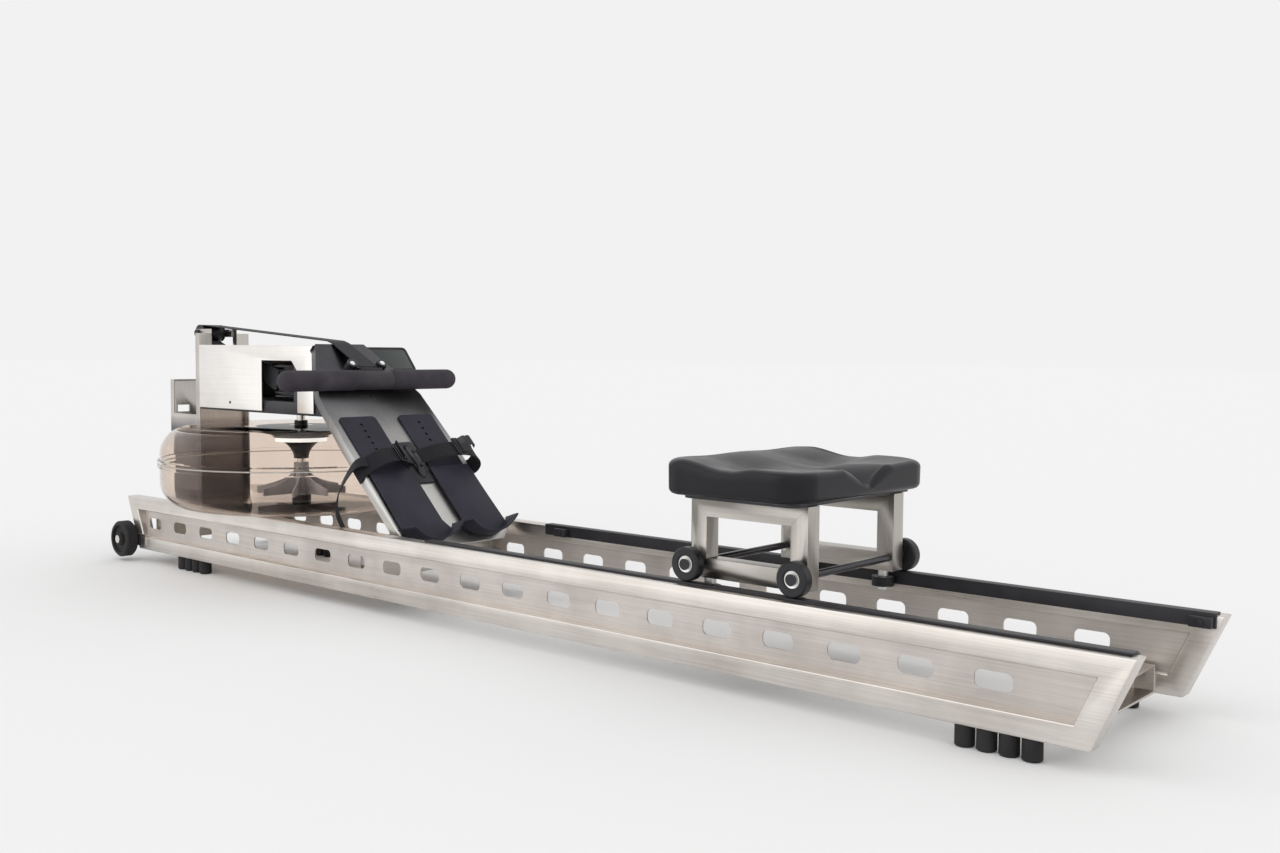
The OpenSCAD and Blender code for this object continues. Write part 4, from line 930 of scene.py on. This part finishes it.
def heel_plates():
    """A sole with a round end, and a cup wall along that end whose rim is highest near both tips.

    Wall height share at angle t: 0.55 + 0.45 (t / 44)^2 up to 44 degrees, falling to 0.06 at 60."""
    centre, r, straight = 0.410, 0.068, 0.434
    t = np.radians(np.linspace(48, -48, 33))
    curve = np.column_stack([centre + r * np.cos(t), r * np.sin(t)])
    outer = np.column_stack([np.linspace(0.318, straight, 14), 0.048 + 0.002 * np.linspace(0, 1, 14) ** 2])
    inner = np.column_stack([np.linspace(straight, 0.318, 14), np.full(14, -0.041)])
    outline = np.concatenate([[[0.316, 0.046]], outer, curve, inner, [[0.316, -0.039]]])[::-1]
    a = np.radians(np.linspace(-60, 60, 61))
    bend = np.abs(np.degrees(a))
    share = np.where(bend < 44, 0.55 + 0.45 * (bend / 44) ** 2, np.clip((60 - bend) / 16, 0.0, 1) ** 0.8 * 0.94 + 0.06)
    profile = np.array(CUP_WALL)
    radius = r + profile[None, :, 0] * (0.35 + 0.65 * share[:, None])
    height = 0.002 + profile[None, :, 1] * share[:, None]
    wall = np.stack([centre + radius * np.cos(a)[:, None], radius * np.sin(a)[:, None], height], -1)
    rows, columns = wall.shape[:2]
    for side, name in ((-1, "near"), (1, "far")):
        body = name + "_heel_plate"

        def place(p, side=side):
            return on_board(p[:, 0], side * (0.062 + p[:, 1]), 0.0033 + p[:, 2])

        sole = slab(name + "_heel_sole", outline, 0.0, 0.003, 0.0009, place, footrest_black, body, outward=side > 0)
        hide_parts(body)
        faces = stitched(rows, columns, False, True, side < 0) + end_caps(rows, columns, side < 0)
        cup = mesh_piece(name + "_heel_cup", place(wall.reshape(-1, 3)), faces, footrest_black, body, 60.0)


def clamp_ridge():
    """The clamp's base plate and its ridge: half width and height both follow (sin(pi s))^p along the ridge."""

    def place(p):
        return on_board(p[:, 0], p[:, 1], p[:, 2])

    outline = rounded_box(0.300, 0, 0.096, 0.038, 0.005)
    base = slab("clamp_base", outline, 0.0, 0.003, 0.0008, place, black_plastic, "frame")
    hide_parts("strap_clamp")
    rows, columns = 41, 24
    s = np.linspace(0.004, 0.996, rows)[:, None]
    t = full_turn(columns)[None, :]
    wide, high = 0.0098 * np.sin(np.pi * s) ** 0.4, 0.0130 * np.sin(np.pi * s) ** 0.6
    points = on_board(0.260 + 0.078 * s + 0 * t, wide * np.cos(t), 0.0025 + high * np.maximum(np.sin(t), -0.08))
    faces = stitched(rows, columns, False, True, True) + end_caps(rows, columns)
    ridge = mesh_piece("clamp_ridge", points.reshape(-1, 3), faces, gloss_black, "frame", 50.0)


# Sections of a peg's end in mm: radius, and height above the board
PEG_RIM = (
    (0.0002, 30), (9.9, 30), (10.2, 31), (10.2, 33.4), (9.4, 34.8), (8.0, 35.3), (6.6, 34.9), (5.6, 33.8),
    (0.0002, 33.4),
)
PEG_DOME = ((0.0002, 33.4), (5.2, 33.4), (5.0, 34.1), (3.9, 35.1), (2.2, 35.7), (0.0002, 35.9))


def peg_tops():
    """Each peg ends in a black rim round a small pale dome, both turned about the peg's own axis."""
    steps = 48
    t = full_turn(steps)[:, None]
    for side, name in ((-1, "near"), (1, "far")):
        for kind, profile, material in (("rim", PEG_RIM, gloss_black), ("dome", PEG_DOME, cap_pale)):
            r, n = (np.array(profile).T / 1000)[:, None]
            points = on_board(0.084 + r * np.cos(t), side * 0.033 + r * np.sin(t), n + 0 * t)
            faces = stitched(steps, len(profile), True, True, True)
            piece = mesh_piece("%s_peg_%s" % (name, kind), points.reshape(-1, 3), faces, material, "frame", 40.0)
            if side < 0 and kind == "dome":
                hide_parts("peg_caps")


def monitor():
    """A rounded case with a raised rim and the display set into it."""
    origin, tilt = (HALF_LENGTH - 1.574, 0.124, 0.437), math.radians(50)

    def place(p):
        return tilted(origin, tilt, p[:, 0], p[:, 1], p[:, 2])

    middle = 0.031
    outline = rounded_box(middle, 0, 0.062, 0.120, 0.008)
    case = slab("monitor_case", outline, -0.016, -0.0015, 0.0025, place, gloss_black, "monitor")
    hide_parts("monitor_housing")
    line = rounded_box(middle, 0, 0.057, 0.115, 0.0065)
    steps = 12
    t = full_turn(steps)
    flat = line[:, None] + sideways(line)[:, None] * (0.0022 * np.cos(t))[None, :, None]
    high = np.broadcast_to(-0.0018 + 0.0016 * np.sin(t), (len(line), steps))
    points = place(np.concatenate([flat, high[..., None]], -1).reshape(-1, 3))
    faces = stitched(len(line), steps, True, True, False)
    rim = mesh_piece("monitor_rim", points, faces, gloss_black, "monitor", 50.0)
    window = rounded_box(0.032, 0, 0.047, 0.105, 0.003)
    glass = slab("monitor_glass", window, -0.0020, -0.0010, 0.0003, place, display_glass, "monitor")
    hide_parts("monitor_screen")


def across_turned(name, centre, profile, material, body, side):
    """A profile in mm (radius, distance out along Y) turned about the cross axis through centre."""
    steps = 48
    t = full_turn(steps)[:, None]
    r, out = (np.asarray(profile, float).T / 1000)[:, None]
    points = np.stack([centre[0] + r * np.cos(t), centre[1] + side * out + 0 * t, centre[2] + r * np.sin(t)], -1)
    faces = stitched(steps, len(profile), True, True, side > 0)
    return mesh_piece(name, points.reshape(-1, 3), faces, material, body, 35.0)


# Sections of the turned small parts in mm: radius, and distance out
BEARING = ((4.8, 0), (11.2, 0), (11.2, 0.8), (10.4, 1.2), (9.4, 0.9), (7.2, 0.9), (6.4, 1.2), (4.8, 1.0))
BOLT = ((0.2, 0), (4.2, 0), (4.2, 1.7), (3.7, 2.1), (2.4, 2.1), (2.3, 0.8), (0.2, 0.8))
SCREW = ((0.2, 0), (2.6, 0), (2.6, 0.9), (1.8, 1.4), (0.2, 1.5))


def small_parts():
    """Bearings with a bolt on the seat wheels' outer faces, and the small screw low on the cover."""
    for end, x in (("front", SEAT_X - AXLE_OFF), ("rear", SEAT_X + AXLE_OFF)):
        for side, name in ((-1, "near"), (1, "far")):
            face, axle = WHEEL_FACE * side, "%s_%s" % (name, end)
            across_turned(axle + "_bearing", (x, face, WHEEL_Z), BEARING, bearing_steel, end + "_seat_wheels", side)
            across_turned(axle + "_wheel_bolt", (x, face + side * 0.0009, WHEEL_Z), BOLT, gloss_black, "seat", side)
    across_turned("cover_screw", (-0.7813, -0.0574, 0.3251), SCREW, gloss_black, "frame", -1)


small_parts()
foot_ribbons()
buckles()
heel_plates()
clamp_ridge()
peg_tops()
monitor()


# Floor, world and lamps

def pale_floor():
    """A wide pale floor just under the feet."""
    s = 40.0
    mesh = bpy.data.meshes.new("floor")
    mesh.from_pydata([(-s, -s, 0), (s, -s, 0), (s, s, 0), (-s, s, 0)], [], [(0, 1, 2, 3)])
    floor = bpy.data.objects.new("floor", mesh)
    floor.location.z = -0.0004
    scene.collection.objects.link(floor)
    f = Finish("floor_pale", (0.87, 0.87, 0.87), 0.9)
    f.set(Specular_IOR_Level=0.0)
    mesh.materials.append(f.material)
    return floor


def studio_world():
    """White light from all round; seen directly, through clear pieces or mirrored, the studio is a little greyer."""
    world = bpy.data.worlds.new("studio")
    scene.world = world
    world.use_nodes = True
    tree = world.node_tree
    lit, seen = tree.nodes["Background"], tree.nodes.new("ShaderNodeBackground")
    lit.inputs["Color"].default_value = (1, 1, 1, 1)
    lit.inputs["Strength"].default_value = 0.90
    seen.inputs["Color"].default_value = (0.887, 0.887, 0.887, 1)
    seen.inputs["Strength"].default_value = 1.0
    path = tree.nodes.new("ShaderNodeLightPath")
    shown = path.outputs["Is Camera Ray"]
    for ray in ("Is Transmission Ray", "Is Glossy Ray"):
        either = tree.nodes.new("ShaderNodeMath")
        either.operation = "MAXIMUM"
        tree.links.new(shown, either.inputs[0])
        tree.links.new(path.outputs[ray], either.inputs[1])
        shown = either.outputs[0]
    mix = tree.nodes.new("ShaderNodeMixShader")
    for socket, value in zip(mix.inputs, (shown, lit.outputs[0], seen.outputs[0])):
        tree.links.new(value, socket)
    tree.links.new(mix.outputs[0], tree.nodes["World Output"].inputs["Surface"])


def panel_lamp(floor):
    """A wide panel on the near side that lights everything except the floor."""
    panel = bpy.data.lights.new("panel", "AREA")
    panel.shape, panel.size, panel.size_y, panel.energy = "RECTANGLE", 5.0, 2.2, 22.0
    stand = bpy.data.objects.new("panel", panel)
    turn = Matrix.Rotation(math.radians(-18), 4, "Z") @ Matrix.Rotation(math.radians(84), 4, "X")
    stand.matrix_world = Matrix.Translation((-1.6, -3.6, 1.0)) @ turn
    scene.collection.objects.link(stand)
    unlit = bpy.data.collections.new("floor_without_panel")
    unlit.objects.link(floor)
    unlit.collection_objects[0].light_linking.link_state = "EXCLUDE"
    stand.light_linking.receiver_collection = unlit


def soft_suns():
    """Two weak suns with wide discs for the soft shadow under the rails."""
    for name, turn, power, size in (("key", (35, -25, 0), 0.40, 50), ("fill", (50, 30, 60), 0.20, 70)):
        lamp = bpy.data.lights.new(name, "SUN")
        lamp.energy = power
        lamp.angle = math.radians(size)
        holder = bpy.data.objects.new(name, lamp)
        holder.rotation_euler = [math.radians(v) for v in turn]
        scene.collection.objects.link(holder)


ground = pale_floor()
studio_world()
panel_lamp(ground)
soft_suns()
scene.view_settings.view_transform = "Standard"
